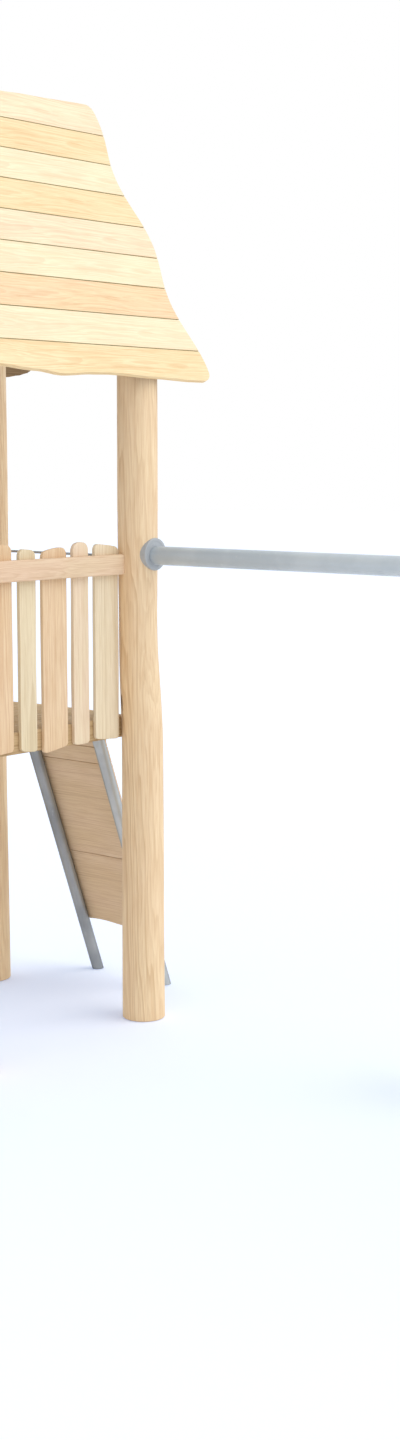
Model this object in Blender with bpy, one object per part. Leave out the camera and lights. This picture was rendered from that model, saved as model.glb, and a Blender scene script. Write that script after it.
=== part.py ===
"""Timber play tower with a steep gable roof, a climbing wall, a slide and a swing.

Everything is drawn from the foot of the front right post. X runs along the railing towards the
climbing wall, Y runs from the front of the tower to its rear, and the swing beam leaves the post
along -Y. At the end the whole set is moved so that the origin lies on the ground under its middle.
"""

import math

import bmesh
import bpy
from mathutils import Matrix, Vector

X = Vector((1.0, 0.0, 0.0))
Y = Vector((0.0, 1.0, 0.0))
Z = Vector((0.0, 0.0, 1.0))

# Clearances
GAP = 0.0003
PIN_CLEARANCE = 0.0006
PIVOT_SIDE_CLEARANCE = 0.0015

# Log posts
BAY_X = 1.13
BAY_Y = 1.09
POST_SHOULDER = 3.142
POST_FOOT_RADIUS = 0.1055
POST_TOP_RADIUS = 0.095
POST_BOW = 0.019
WAIST_DEPTH = 0.006
WAIST_REACH = 0.30
BOW_RISE = 0.60
LOG_RINGS = 10
LOG_SIDES = 24
# Where each post stands, the way that it bows above the deck, and the height of its waist
POSTS = {
    "front_right": (0.0, 0.0, (-0.64, 0.77), 1.93),
    "front_left": (-BAY_X, 0.0, (0.40, 0.60), 1.55),
    "rear_right": (0.0, BAY_Y, (1.04, -1.25), 1.90),
    "rear_left": (-BAY_X, BAY_Y, (0.50, -0.80), 1.70),
}

# Deck and its frame
DECK_TOP = 1.500
DECK_BOARD_THICKNESS = 0.040
DECK_BOARD_COUNT = 5
DECK_BOARD_SPACING = 0.005
DECK_EDGE_INSET = 0.018
EDGE_BEAM_HEIGHT = 0.102
EDGE_BEAM_THICKNESS = 0.045
JOIST_THICKNESS = 0.045
TIMBER_CHAMFER = 0.004

# Railing
RAIL_FACE = 0.015
RAIL_TOP = 2.284
RAIL_HEIGHT = 0.096
RAIL_THICKNESS = 0.038
PALE_THICKNESS = 0.018
PALE_TOP_ROUNDING = 0.022
PALE_FOOT_ROUNDING = 0.016
# Each pale: left and right edge, how far its left and right top corner stand above the rail, the
# rise of its middle between them, and how far its left and right foot hang below the deck
PALES = (
    (-1.000, -0.814, 0.066, 0.061, 0.008, 0.093, 0.084),
    (-0.769, -0.665, 0.037, 0.035, 0.009, 0.088, 0.101),
    (-0.621, -0.463, 0.026, 0.036, 0.012, 0.117, 0.096),
    (-0.420, -0.316, 0.048, 0.052, 0.015, 0.100, 0.100),
    (-0.272, -0.109, 0.047, 0.034, 0.007, 0.089, 0.103),
)
GRAB_BAR_RADIUS = 0.006
GRAB_BAR_HEIGHT = 2.267

# Roof
EAVE_OUT = 0.1375
EAVE_HEIGHT = 3.097
ROOF_PITCH = math.radians(63.4)
PLANK_COUNT = 9
PLANK_WIDTH = 0.1675
PLANK_THICKNESS = 0.022
PLANK_SPACING = 0.003
PLANK_SAMPLES = 3
RIDGE_CLEARANCE = 0.005
REAR_GROOVE_DEPTH = 0.008
RAKE_REACH = 0.341
RAKE_TAPER = 0.083
RAKE_WAVE = 0.031
RAKE_PERIOD = 0.667
RAKE_CREST = 0.090
LEFT_RAKE_CREST = 0.300
EAVE_CORNER = 0.050
RIDGE_CORNER = 0.035
# Natural edges of the planks as (place along the plank from its middle, height past the straight
# edge of the slope)
EAVE_EDGE = (
    (-0.885, 0.010), (-0.500, 0.045), (-0.245, 0.027), (-0.094, 0.010),
    (0.114, 0.023), (0.221, 0.026), (0.555, 0.015), (0.795, 0.007),
)
RIDGE_EDGE = (
    (-0.765, -0.0025), (-0.235, -0.0175), (0.165, -0.0195), (0.361, -0.0105), (0.795, 0.0025),
)
# Lower corner of the rear slope over the climbing wall, where its lowest plank tapers off and
# flares out, as (height up the slope, reach past the middle of the bay)
REAR_TAPER = (
    (0.0, 0.215), (0.035, 0.500), (0.060, 0.715), (0.074, 0.823), (0.086, 0.905), (0.100, 0.959),
    (0.113, 0.985), (0.135, 0.995),
)
REAR_FLARE = 0.070
REAR_FLARE_HEIGHT = 0.900
EDGE_SAMPLES = 11
PLATE_REACH = 0.090
PLATE_HEIGHT = 0.085
PLATE_THICKNESS = 0.090
PLATE_CORNER = 0.012
RAFTER_DEPTH = 0.090
TRUSS_THICKNESS = 0.045
GUSSET_DROP = 0.100

# Climbing wall
CLIMB_FOOT = 0.4996
CLIMB_PITCH = math.atan(2.71)
CLIMB_TUBE_RADIUS = 0.03015
CLIMB_TUBE_PLACES = (0.294, 0.776)
CLIMB_TUBE_TOP = 1.440
CLIMB_FLANGE_BOTTOM = 1.400
CLIMB_FLANGE_TOP = 1.465
CLIMB_FLANGE_HALF_WIDTH = 0.055
CLIMB_FLANGE_THICKNESS = 0.006
WALL_EDGES = (0.305, 0.785)
WALL_THICKNESS = 0.030
# Heights of the wall's seams, measured up the slope from the ground
WALL_SEAMS = (0.297, 0.7255, 1.282, 1.577)
WALL_SEAM_WIDTH = 0.003
WALL_CORNER = 0.025
RUNG_RADIUS = 0.022
RUNG_INSET = 0.020
RUNG_PLACES = (0.400, 0.720, 1.040, 1.400)

# Swing beam and its sockets
BEAM_RADIUS = 0.04445
BEAM_HEIGHT = 2.277
BEAM_SPAN = 3.720
SOCKET_RADIUS = 0.077
SOCKET_FRONT = 0.0895
SOCKET_BACK = 0.040
SOCKET_EDGE = 0.006
FAR_COLLAR_DEPTH = 0.045

# A-frame that carries the far end of the beam
LEG_SPREAD = 0.800
LEG_TOP_SPREAD = 0.088
LEG_TOP = BEAM_HEIGHT + 0.153
LEG_FOOT_RADIUS = 0.085
LEG_TOP_RADIUS = 0.070
LEG_BOW = 0.010
LEG_WAIST = 1.200
LEG_FLAT_DEPTH = 0.016
HEAD_PLATE_THICKNESS = 0.010
HEAD_PLATE_BOTTOM = BEAM_HEIGHT - 0.157
HEAD_PLATE_TOP = BEAM_HEIGHT + 0.123
HEAD_PLATE_BOTTOM_HALF = 0.210
HEAD_PLATE_TOP_HALF = 0.130
HEAD_PLATE_CORNER = 0.030
FLAT_MARGIN = 0.030
BRACE_HEIGHT = 0.700
BRACE_RADIUS = 0.045

# Swing
SEAT_FROM_POST = 1.860
SEAT_LENGTH = 0.420
SEAT_DEPTH = 0.170
SEAT_THICKNESS = 0.030
SEAT_ROUNDING = 0.012
SEAT_HEIGHT = 0.450
SEAT_PIN_RISE = 0.050
BRACKET_THICKNESS = 0.005
BRACKET_FOOT_HALF = 0.060
BRACKET_ROUNDING = 0.012
PIVOT_DROP = 0.040
PIN_RADIUS = 0.006
PIN_HEAD_RADIUS = 0.011
PIN_HEAD_THICKNESS = 0.005
EYE_RADIUS = 0.016
EYE_WIDTH = 0.012
CHEEK_THICKNESS = 0.008
CHEEK_HALF_WIDTH = 0.018
CLAMP_WALL = 0.007
CLAMP_WIDTH = 0.060
LINK_PITCH = 0.040
LINK_WIDTH = 0.020
LINK_WIRE = 0.006
LINK_TURN = 0.008

# Slide
SLIDE_HALF_WIDTH = 0.225
SLIDE_CHEEK_HEIGHT = 0.170
SLIDE_LIP = 0.030
SLIDE_SHEET = 0.004
SLIDE_STEP_DOWN = 0.003
SLIDE_ENTRY = 0.300
SLIDE_ENTRY_BEND = 0.400
SLIDE_PITCH = math.radians(37.0)
SLIDE_EXIT_BEND = 0.800
SLIDE_EXIT = 0.450
SLIDE_EXIT_HEIGHT = 0.300
SLIDE_BEND_STEPS = 6
SLIDE_FLANGE_DROP = 0.095
SLIDE_FOOT_RADIUS = 0.024
SLIDE_FOOT_FROM_END = 0.200
SLIDE_FOOT_HALF_WIDTH = 0.190
SLIDE_FOOT_BEND = 0.070

# Shapes in general
ROUND_SIDES = 24
SMALL_SIDES = 16
SMOOTH_ANGLE = math.radians(35.0)
# The largest part of an edge that the curve of a corner may use up
CORNER_SHARE = 0.45
# How far cutters run past what they cut
CUTTER_REACH = 0.1


def ease(t):
    """Smooth step from 0 to 1."""
    t = min(max(t, 0.0), 1.0)
    return t * t * (3.0 - 2.0 * t)


def along(stations, x):
    """Height of a natural edge at x, eased from one station to the next."""
    if x <= stations[0][0]:
        return stations[0][1]
    for (x0, y0), (x1, y1) in zip(stations, stations[1:]):
        if x <= x1:
            return y0 + (y1 - y0) * ease((x - x0) / (x1 - x0))
    return stations[-1][1]


def spread(low, high, count):
    """Evenly spaced values from low to high."""
    return [low + (high - low) * k / (count - 1) for k in range(count)]


def rounded(corners, steps=3):
    """An outline whose corners, given as (x, y, radius), are turned into short curves."""
    outline = []
    for k, (x, y, radius) in enumerate(corners):
        if radius == 0.0:
            outline.append((x, y))
            continue
        here = Vector((x, y))
        before = Vector(corners[k - 1][:2]) - here
        after = Vector(corners[(k + 1) % len(corners)][:2]) - here
        start = here + before.normalized() * min(radius, before.length * CORNER_SHARE)
        end = here + after.normalized() * min(radius, after.length * CORNER_SHARE)
        for t in spread(0.0, 1.0, steps + 1):
            point = start * (1 - t) ** 2 + here * (2 * t * (1 - t)) + end * t**2
            outline.append((point.x, point.y))
    return outline


def frame(origin, x, y, z):
    """Placing matrix with its origin and its three axes."""
    placed = Matrix((x, y, z)).transposed().to_4x4()
    placed.translation = origin
    return placed


def facing_front(y):
    """Outline in X and Z at depth y, thickness towards the front."""
    return frame((0.0, y, 0.0), X, Z, -Y)


def facing_side(x):
    """Outline in Y and Z at x, thickness towards +X."""
    return frame((x, 0.0, 0.0), Y, Z, X)


def finish(name, colour, roughness, metallic=0.0):
    material = bpy.data.materials.new(name)
    material.use_nodes = True
    shader = material.node_tree.nodes["Principled BSDF"]
    shader.inputs["Base Color"].default_value = (*colour, 1.0)
    shader.inputs["Roughness"].default_value = roughness
    shader.inputs["Metallic"].default_value = metallic
    return material


def add(name, bm, surface, smooth=False):
    """Closes a bmesh into an object with its material."""
    bmesh.ops.recalc_face_normals(bm, faces=bm.faces[:])
    mesh = bpy.data.meshes.new(name)
    bm.to_mesh(mesh)
    bm.free()
    mesh.materials.append(surface)
    if smooth:
        mesh.shade_smooth()
        mesh.set_sharp_from_angle(angle=SMOOTH_ANGLE)
    obj = bpy.data.objects.new(name, mesh)
    bpy.context.scene.collection.objects.link(obj)
    return obj


def loft(name, rings, surface, smooth=False, closed=False):
    """A skin over a row of rings that all have the same number of points."""
    bm = bmesh.new()
    loops = [[bm.verts.new(point) for point in ring] for ring in rings]
    pairs = list(zip(loops, loops[1:]))
    if closed:
        pairs.append((loops[-1], loops[0]))
    for lower, upper in pairs:
        for k in range(len(lower)):
            j = (k + 1) % len(lower)
            bm.faces.new((lower[k], lower[j], upper[j], upper[k]))
    if not closed:
        bm.faces.new(loops[0][::-1])
        bm.faces.new(loops[-1])
    return add(name, bm, surface, smooth)


def slab(name, outline, low, high, place, surface):
    """A flat board: its outline in its own plane, thick from low to high across that plane."""
    rings = [[place @ Vector((x, y, level)) for x, y in outline] for level in (low, high)]
    return loft(name, rings, surface)


def box(name, low, high, surface):
    """A plain block between two corners."""
    plan = ((low[0], low[1]), (high[0], low[1]), (high[0], high[1]), (low[0], high[1]))
    return loft(name, [[(x, y, z) for x, y in plan] for z in (low[2], high[2])], surface)


def timber(name, low, high, surface):
    """A squared timber between two corners, its edges chamfered."""
    obj = box(name, low, high, surface)
    bevel = obj.modifiers.new("chamfer", "BEVEL")
    bevel.width = TIMBER_CHAMFER
    bevel.segments = 1
    bevel.limit_method = "ANGLE"
    return obj


def level_section(centre, radius, axis, sides):
    """Horizontal cut through a round bar: an ellipse stretched along the way the bar leans."""
    lean = Vector((axis.x, axis.y, 0.0))
    long_way = lean.normalized() if lean.length > 0.0 else X
    short_way = Z.cross(long_way)
    stretch = radius / axis.normalized().z
    ring = []
    for k in range(sides):
        angle = math.tau * k / sides
        ring.append(
            centre + long_way * (stretch * math.cos(angle)) + short_way * (radius * math.sin(angle))
        )
    return ring


def tube_rings(path, radius, side, sides):
    """Circles square to a path that lies in one plane, whose normal is side."""
    path = [Vector(point) for point in path]
    rings = []
    for k, centre in enumerate(path):
        before = path[max(k - 1, 0)]
        after = path[min(k + 1, len(path) - 1)]
        up = side.cross((after - before).normalized())
        ring = []
        for s in range(sides):
            angle = math.tau * s / sides
            ring.append(centre + side * (radius * math.cos(angle)) + up * (radius * math.sin(angle)))
        rings.append(ring)
    return rings


def tube(name, path, radius, side, surface, sides=ROUND_SIDES):
    return loft(name, tube_rings(path, radius, side, sides), surface, smooth=True)


def ring(name, centre, inner, outer, width, surface, sides):
    """A flat-sided ring round an axis along Y."""
    centre = Vector(centre)
    rings = []
    for s in range(sides):
        angle = math.tau * s / sides
        out = X * math.cos(angle) + Z * math.sin(angle)
        rings.append([
            centre + out * inner - Y * (width / 2),
            centre + out * outer - Y * (width / 2),
            centre + out * outer + Y * (width / 2),
            centre + out * inner + Y * (width / 2),
        ])
    return loft(name, rings, surface, smooth=True, closed=True)


def hide(helper):
    helper.hide_render = True
    helper.display_type = "WIRE"


def boolean(piece, operation, others):
    for other in others:
        hide(other)
        modifier = piece.modifiers.new(operation.lower(), "BOOLEAN")
        modifier.operation = operation
        modifier.solver = "EXACT"
        modifier.object = other


def cut(piece, *cutters):
    boolean(piece, "DIFFERENCE", cutters)
    return piece


def fuse(piece, *parts):
    boolean(piece, "UNION", parts)
    return piece


def log(name, foot, top, foot_radius, top_radius, bow, waist):
    """A natural log and a copy grown by the gap, which scribes what meets the log."""
    foot, top, bow = Vector(foot), Vector(top), Vector(bow)
    bodies = []
    for label, grow in ((name, 0.0), ("scribe_" + name, GAP)):
        rings = []
        for t in spread(0.0, 1.0, LOG_RINGS):
            centre = foot.lerp(top, t)
            narrow = WAIST_DEPTH * math.exp(-(((centre.z - waist) / WAIST_REACH) ** 2))
            radius = foot_radius + (top_radius - foot_radius) * t - narrow + grow
            centre = centre + bow * ease((centre.z - waist) / BOW_RISE + 1.0)
            rings.append(level_section(centre, radius, top - foot, LOG_SIDES))
        bodies.append(loft(label, rings, LOG_WOOD, smooth=True))
    hide(bodies[1])
    return bodies


def posts():
    """The four corner posts, each with the copy that scribes what meets it.

    A shoulder carries the wall plate. The rest of the log runs up along the plate's inner face.
    """
    outer, inner, top = plate_section()
    pairs = {}
    for corner, (x, y, (bow_x, bow_y), waist) in POSTS.items():
        bow = (POST_BOW * bow_x, POST_BOW * bow_y, 0.0)
        pairs[corner] = log("post_" + corner, (x, y, 0.0), (x, y, top),
                            POST_FOOT_RADIUS, POST_TOP_RADIUS, bow, waist)
        reach = 2.0 * POST_FOOT_RADIUS
        span = (outer - reach, inner + GAP)
        if y > 0.0:
            span = mirror_y(span)
        cut(pairs[corner][0], box("notch_" + corner, (x - reach, span[0], POST_SHOULDER),
                                  (x + reach, span[1], top + reach), LOG_WOOD))
    return pairs


def mirror_y(span):
    """The same depth range on the rear side of the tower."""
    return BAY_Y - span[1], BAY_Y - span[0]


def deck(post):
    """Edge beams scribed to the posts, two joists between them and the boards on top."""
    pale_back = RAIL_FACE + RAIL_THICKNESS + PALE_THICKNESS + GAP
    beam_front = pale_back + GAP
    beam_back = beam_front + EDGE_BEAM_THICKNESS
    beam_low = DECK_TOP - EDGE_BEAM_HEIGHT
    joist_top = DECK_TOP - DECK_BOARD_THICKNESS - GAP
    sides = {
        "front_beam": ((beam_front, beam_back), ("front_left", "front_right")),
        "rear_beam": (mirror_y((beam_front, beam_back)), ("rear_left", "rear_right")),
    }
    for name, (depth, ends) in sides.items():
        low = (-BAY_X + DECK_EDGE_INSET, depth[0], beam_low)
        high = (-DECK_EDGE_INSET, depth[1], DECK_TOP)
        beam = timber(name, low, high, TIMBER)
        cut(beam, *[post[end][1] for end in ends])
    inner = (beam_back + GAP, BAY_Y - beam_back - GAP)
    right = -DECK_EDGE_INSET
    left = -BAY_X + DECK_EDGE_INSET
    for name, x in (("joist_right", right - JOIST_THICKNESS), ("joist_left", left)):
        low = (x, inner[0], beam_low)
        timber(name, low, (x + JOIST_THICKNESS, inner[1], joist_top), TIMBER)
    width = (inner[1] - inner[0] - DECK_BOARD_SPACING * (DECK_BOARD_COUNT - 1)) / DECK_BOARD_COUNT
    for k in range(DECK_BOARD_COUNT):
        y = inner[0] + k * (width + DECK_BOARD_SPACING)
        low = (left, y, DECK_TOP - DECK_BOARD_THICKNESS)
        timber(f"deck_board_{k + 1}", low, (right, y + width, DECK_TOP), TIMBER)


def pale_outline(left, right, above_left, above_right, rise, below_left, below_right):
    middle = (left + right) / 2
    crown = (above_left + above_right) / 2 + rise
    return rounded([
        (left, DECK_TOP - below_left, PALE_FOOT_ROUNDING),
        (right, DECK_TOP - below_right, PALE_FOOT_ROUNDING),
        (right, RAIL_TOP + above_right, PALE_TOP_ROUNDING),
        (middle, RAIL_TOP + crown, PALE_TOP_ROUNDING),
        (left, RAIL_TOP + above_left, PALE_TOP_ROUNDING),
    ])


def railings(post):
    """Front rail with its pales as single pieces, and the rear railing joined into one."""
    rail_back = RAIL_FACE + RAIL_THICKNESS
    pale_front = rail_back + GAP
    pale_back = pale_front + PALE_THICKNESS
    rail_low = RAIL_TOP - RAIL_HEIGHT
    rail = timber("front_rail", (-BAY_X, RAIL_FACE, rail_low), (0.0, rail_back, RAIL_TOP), TIMBER)
    cut(rail, post["front_left"][1], post["front_right"][1])
    for k, pale in enumerate(PALES):
        slab(f"front_pale_{k + 1}", pale_outline(*pale), 0.0, PALE_THICKNESS,
             facing_front(pale_back), TIMBER)
    # The rear pales sink into the rear rail, so that the railing is one piece
    rear = timber("rear_railing", (-BAY_X, BAY_Y - rail_back, rail_low),
                  (0.0, BAY_Y - RAIL_FACE, RAIL_TOP), TIMBER)
    cut(rear, post["rear_left"][1], post["rear_right"][1])
    pales = [
        slab(f"joined_rear_pale_{k + 1}", pale_outline(*pale), -2 * GAP, PALE_THICKNESS,
             facing_front(BAY_Y - pale_front), TIMBER)
        for k, pale in enumerate(PALES)
    ]
    fuse(rear, *pales)


def grab_bars(post):
    """A steel bar across each open side of the deck, let into the posts."""
    for side, x in (("right", 0.0), ("left", -BAY_X)):
        bar = tube(f"grab_bar_{side}", ((x, 0.0, GRAB_BAR_HEIGHT), (x, BAY_Y, GRAB_BAR_HEIGHT)),
                   GRAB_BAR_RADIUS, X, STEEL)
        cut(bar, post[f"front_{side}"][1], post[f"rear_{side}"][1])


def rake(v, crest):
    """How far a plank runs past the post line at the height v up the slope."""
    wave = RAKE_WAVE * math.cos(math.tau * (v - crest) / RAKE_PERIOD)
    return BAY_X / 2 + RAKE_REACH - RAKE_TAPER * v + wave


def plank_outline(k):
    """Plank k of the front slope, in its own plane: along the plank, and up the slope."""
    low = k * PLANK_WIDTH + PLANK_SPACING / 2
    high = (k + 1) * PLANK_WIDTH - PLANK_SPACING / 2
    first, last = k == 0, k == PLANK_COUNT - 1
    if first:
        low = 0.0
    if last:
        high = PLANK_COUNT * PLANK_WIDTH + RIDGE_EDGE[-1][1]
    bottom_corner = EAVE_CORNER if first else 0.0
    top_corner = RIDGE_CORNER if last else 0.0
    outline = []
    left, right = -rake(low, LEFT_RAKE_CREST), rake(low, RAKE_CREST)
    for n, x in enumerate(spread(left, right, EDGE_SAMPLES if first else 2)):
        at_end = n in (0, EDGE_SAMPLES - 1)
        y = along(EAVE_EDGE, x) if first else low
        outline.append((x, y, bottom_corner if at_end else 0.0))
    for v in spread(low, high, PLANK_SAMPLES + 2)[1:-1]:
        outline.append((rake(v, RAKE_CREST), v, 0.0))
    left, right = -rake(high, LEFT_RAKE_CREST), rake(high, RAKE_CREST)
    for n, x in enumerate(spread(right, left, EDGE_SAMPLES if last else 2)):
        at_end = n in (0, EDGE_SAMPLES - 1)
        y = PLANK_COUNT * PLANK_WIDTH + along(RIDGE_EDGE, x) if last else high
        outline.append((x, y, top_corner if at_end else 0.0))
    for v in spread(high, low, PLANK_SAMPLES + 2)[1:-1]:
        outline.append((-rake(v, LEFT_RAKE_CREST), v, 0.0))
    return rounded(outline)


def slope_frames():
    """Planes of the front and the rear slope: origin at the middle of the eave."""
    up = Y * math.cos(ROOF_PITCH) + Z * math.sin(ROOF_PITCH)
    out = X.cross(up)
    front = frame((-BAY_X / 2, -EAVE_OUT, EAVE_HEIGHT), X, up, out)
    middle = Matrix.Translation((-BAY_X / 2, BAY_Y / 2, 0.0))
    turn = middle @ Matrix.Rotation(math.pi, 4, "Z") @ middle.inverted()
    return front, turn @ front


def roof(post):
    front, rear = slope_frames()
    for k in range(PLANK_COUNT):
        slab(f"roof_plank_{k + 1}", plank_outline(k), -PLANK_THICKNESS, 0.0, front, ROOF_WOOD)
    rear_slope(rear)
    plates()
    trusses()


def rear_slope_length():
    """How far the rear slope may run up before it meets the inner face of the front one."""
    whole = (BAY_Y / 2 + EAVE_OUT) / math.cos(ROOF_PITCH)
    wedge = PLANK_THICKNESS * (1.0 - math.cos(2 * ROOF_PITCH)) + RIDGE_CLEARANCE
    return whole - wedge / math.sin(2 * ROOF_PITCH)


def rear_end(v):
    """How far the rear slope runs past the middle of the bay over the climbing wall."""
    flare = REAR_FLARE * max(0.0, 1.0 - v / REAR_FLARE_HEIGHT)
    return min(along(REAR_TAPER, v), rake(v, RAKE_CREST) + flare)


def rear_slope(place):
    """The rear slope as one panel, grooved where its planks meet."""
    length = rear_slope_length()
    seams = [k * PLANK_WIDTH for k in range(1, PLANK_COUNT)]
    edges = [0.0, *[v for v in seams if v < length - PLANK_WIDTH / 4], length]
    stations = [(0.0, 0.0)]
    for low, high in zip(edges, edges[1:]):
        if low > 0.0:
            stations.append((low, -REAR_GROOVE_DEPTH))
            stations.append((low + PLANK_SPACING, 0.0))
        between = spread(low, high, PLANK_SAMPLES + 2)[1:-1]
        if low == 0.0:
            between = [v for v, reach in REAR_TAPER[1:]]
        stations += [(v, 0.0) for v in between]
        if high < length:
            stations.append((high - PLANK_SPACING, 0.0))
    stations.append((length, 0.0))
    rings = []
    for v, outer in stations:
        left, right = -rear_end(v), rake(v, LEFT_RAKE_CREST)
        section = ((left, outer), (right, outer), (right, -PLANK_THICKNESS), (left, -PLANK_THICKNESS))
        rings.append([place @ Vector((x, v, n)) for x, n in section])
    loft("rear_roof_slope", rings, ROOF_WOOD)


def inner_roof_line(z, sunk):
    """Depth y where a face lies at height z, sunk below the outer face of the front planks."""
    return -EAVE_OUT + (z - EAVE_HEIGHT) / math.tan(ROOF_PITCH) + sunk / math.sin(ROOF_PITCH)


def plate_section():
    """Outer face, inner face and top of the front wall plate."""
    high = POST_SHOULDER + GAP + PLATE_HEIGHT
    outer = inner_roof_line(high, PLANK_THICKNESS + GAP)
    return outer, outer + PLATE_THICKNESS, high


def plates():
    """The two beams on the posts' shoulders, against which the lowest planks lean."""
    outer, inner, high = plate_section()
    low = POST_SHOULDER + GAP
    left, right = -BAY_X - PLATE_REACH, PLATE_REACH
    outline = rounded([
        (left, low, PLATE_CORNER), (right, low, PLATE_CORNER), (right, high, 0.0), (left, high, 0.0),
    ])
    slab("front_wall_plate", outline, 0.0, PLATE_THICKNESS, facing_front(inner), TIMBER)
    slab("rear_wall_plate", outline, 0.0, PLATE_THICKNESS, facing_front(BAY_Y - outer), TIMBER)


def trusses():
    """Two rafter pairs, one over each pair of posts, joined by a gusset under the ridge."""
    foot = plate_section()[2] + GAP
    sunk = PLANK_THICKNESS + GAP
    outer = inner_roof_line(foot, sunk)
    inner = inner_roof_line(foot, sunk + RAFTER_DEPTH)
    apex = foot + (BAY_Y / 2 - outer) * math.tan(ROOF_PITCH)
    inner_apex = apex - RAFTER_DEPTH / math.cos(ROOF_PITCH)
    gusset = inner_apex - GUSSET_DROP
    half = GUSSET_DROP / math.tan(ROOF_PITCH)
    middle = BAY_Y / 2
    outline = (
        (outer, foot), (inner, foot), (middle - half, gusset), (middle + half, gusset),
        (BAY_Y - inner, foot), (BAY_Y - outer, foot), (middle, apex),
    )
    for side, x in (("right", 0.0), ("left", -BAY_X)):
        slab(f"roof_truss_{side}", outline, 0.0, TRUSS_THICKNESS,
             facing_side(x - TRUSS_THICKNESS / 2), TIMBER)


def climb_frame():
    """Plane through the middles of the climbing wall's tubes: across, up the slope, outwards."""
    up = Z * math.sin(CLIMB_PITCH) - X * math.cos(CLIMB_PITCH)
    return frame((CLIMB_FOOT, 0.0, 0.0), Y, up, Y.cross(up))


def climbing_wall():
    place = climb_frame()
    axis = place.to_3x3() @ Y
    joist_face = -DECK_EDGE_INSET + GAP
    top = place.translation + axis * (CLIMB_TUBE_TOP / axis.z)
    for side, y in zip(("front", "rear"), CLIMB_TUBE_PLACES):
        rings = [
            level_section(centre + Y * y, CLIMB_TUBE_RADIUS, axis, ROUND_SIDES)
            for centre in (place.translation, top)
        ]
        rail = loft(f"climb_tube_{side}", rings, STEEL, smooth=True)
        behind = box(
            f"scribe_climb_tube_{side}",
            (joist_face - CUTTER_REACH, y - CUTTER_REACH, CLIMB_FLANGE_BOTTOM - CUTTER_REACH),
            (joist_face, y + CUTTER_REACH, CLIMB_FLANGE_TOP + CUTTER_REACH),
            STEEL,
        )
        flange = box(
            f"joined_climb_flange_{side}",
            (joist_face, y - CLIMB_FLANGE_HALF_WIDTH, CLIMB_FLANGE_BOTTOM),
            (joist_face + CLIMB_FLANGE_THICKNESS, y + CLIMB_FLANGE_HALF_WIDTH, CLIMB_FLANGE_TOP),
            STEEL,
        )
        cut(rail, behind)
        fuse(rail, flange)
    inner = CLIMB_TUBE_RADIUS + GAP
    front, rear = WALL_EDGES
    for k, name in enumerate(("lower", "middle", "upper")):
        low = WALL_SEAMS[k] + (WALL_SEAM_WIDTH / 2 if k else 0.0)
        high = WALL_SEAMS[k + 1] - WALL_SEAM_WIDTH / 2
        corner = 0.0 if k else WALL_CORNER
        outline = rounded([
            (front, low, corner), (rear, low, corner), (rear, high, 0.0), (front, high, 0.0),
        ])
        slab(f"climb_board_{name}", outline, inner, inner + WALL_THICKNESS, place, WALL_WOOD)
    face = inner + WALL_THICKNESS + GAP
    ends = (front + RUNG_INSET, rear - RUNG_INSET)
    for k, v in enumerate(RUNG_PLACES):
        half_round = []
        for angle in spread(0.0, math.pi, SMALL_SIDES // 2 + 1):
            outward = RUNG_RADIUS * math.sin(angle)
            half_round.append((v - RUNG_RADIUS * math.cos(angle), face + outward))
        rings = [[place @ Vector((y, along_wall, n)) for along_wall, n in half_round] for y in ends]
        loft(f"climb_rung_{k + 1}", rings, TIMBER, smooth=True)


def round_block(name, centre, radius, length, edge, surface):
    """A short round block along Y, centred on its middle, with chamfered rims."""
    centre = Vector(centre)
    half = length / 2
    sections = (
        (-half, radius - edge), (-half + edge, radius), (half - edge, radius), (half, radius - edge),
    )
    rings = []
    for y, r in sections:
        here = centre + Y * y
        rings.append(tube_rings((here, here + Y), r, X, ROUND_SIDES)[0])
    return loft(name, rings, surface, smooth=True)


def swing_beam(post):
    """The beam between the saddle on the post and the collar on the far head plate."""
    depth = SOCKET_FRONT - SOCKET_BACK
    middle = (0.0, -(SOCKET_FRONT + SOCKET_BACK) / 2, BEAM_HEIGHT)
    socket = round_block("beam_socket", middle, SOCKET_RADIUS, depth, SOCKET_EDGE, STEEL)
    cut(socket, post["front_right"][1])
    near = -(SOCKET_FRONT + GAP)
    far = -(BEAM_SPAN - FAR_COLLAR_DEPTH - GAP)
    tube("swing_beam", ((0.0, near, BEAM_HEIGHT), (0.0, far, BEAM_HEIGHT)), BEAM_RADIUS, X, STEEL)


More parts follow.
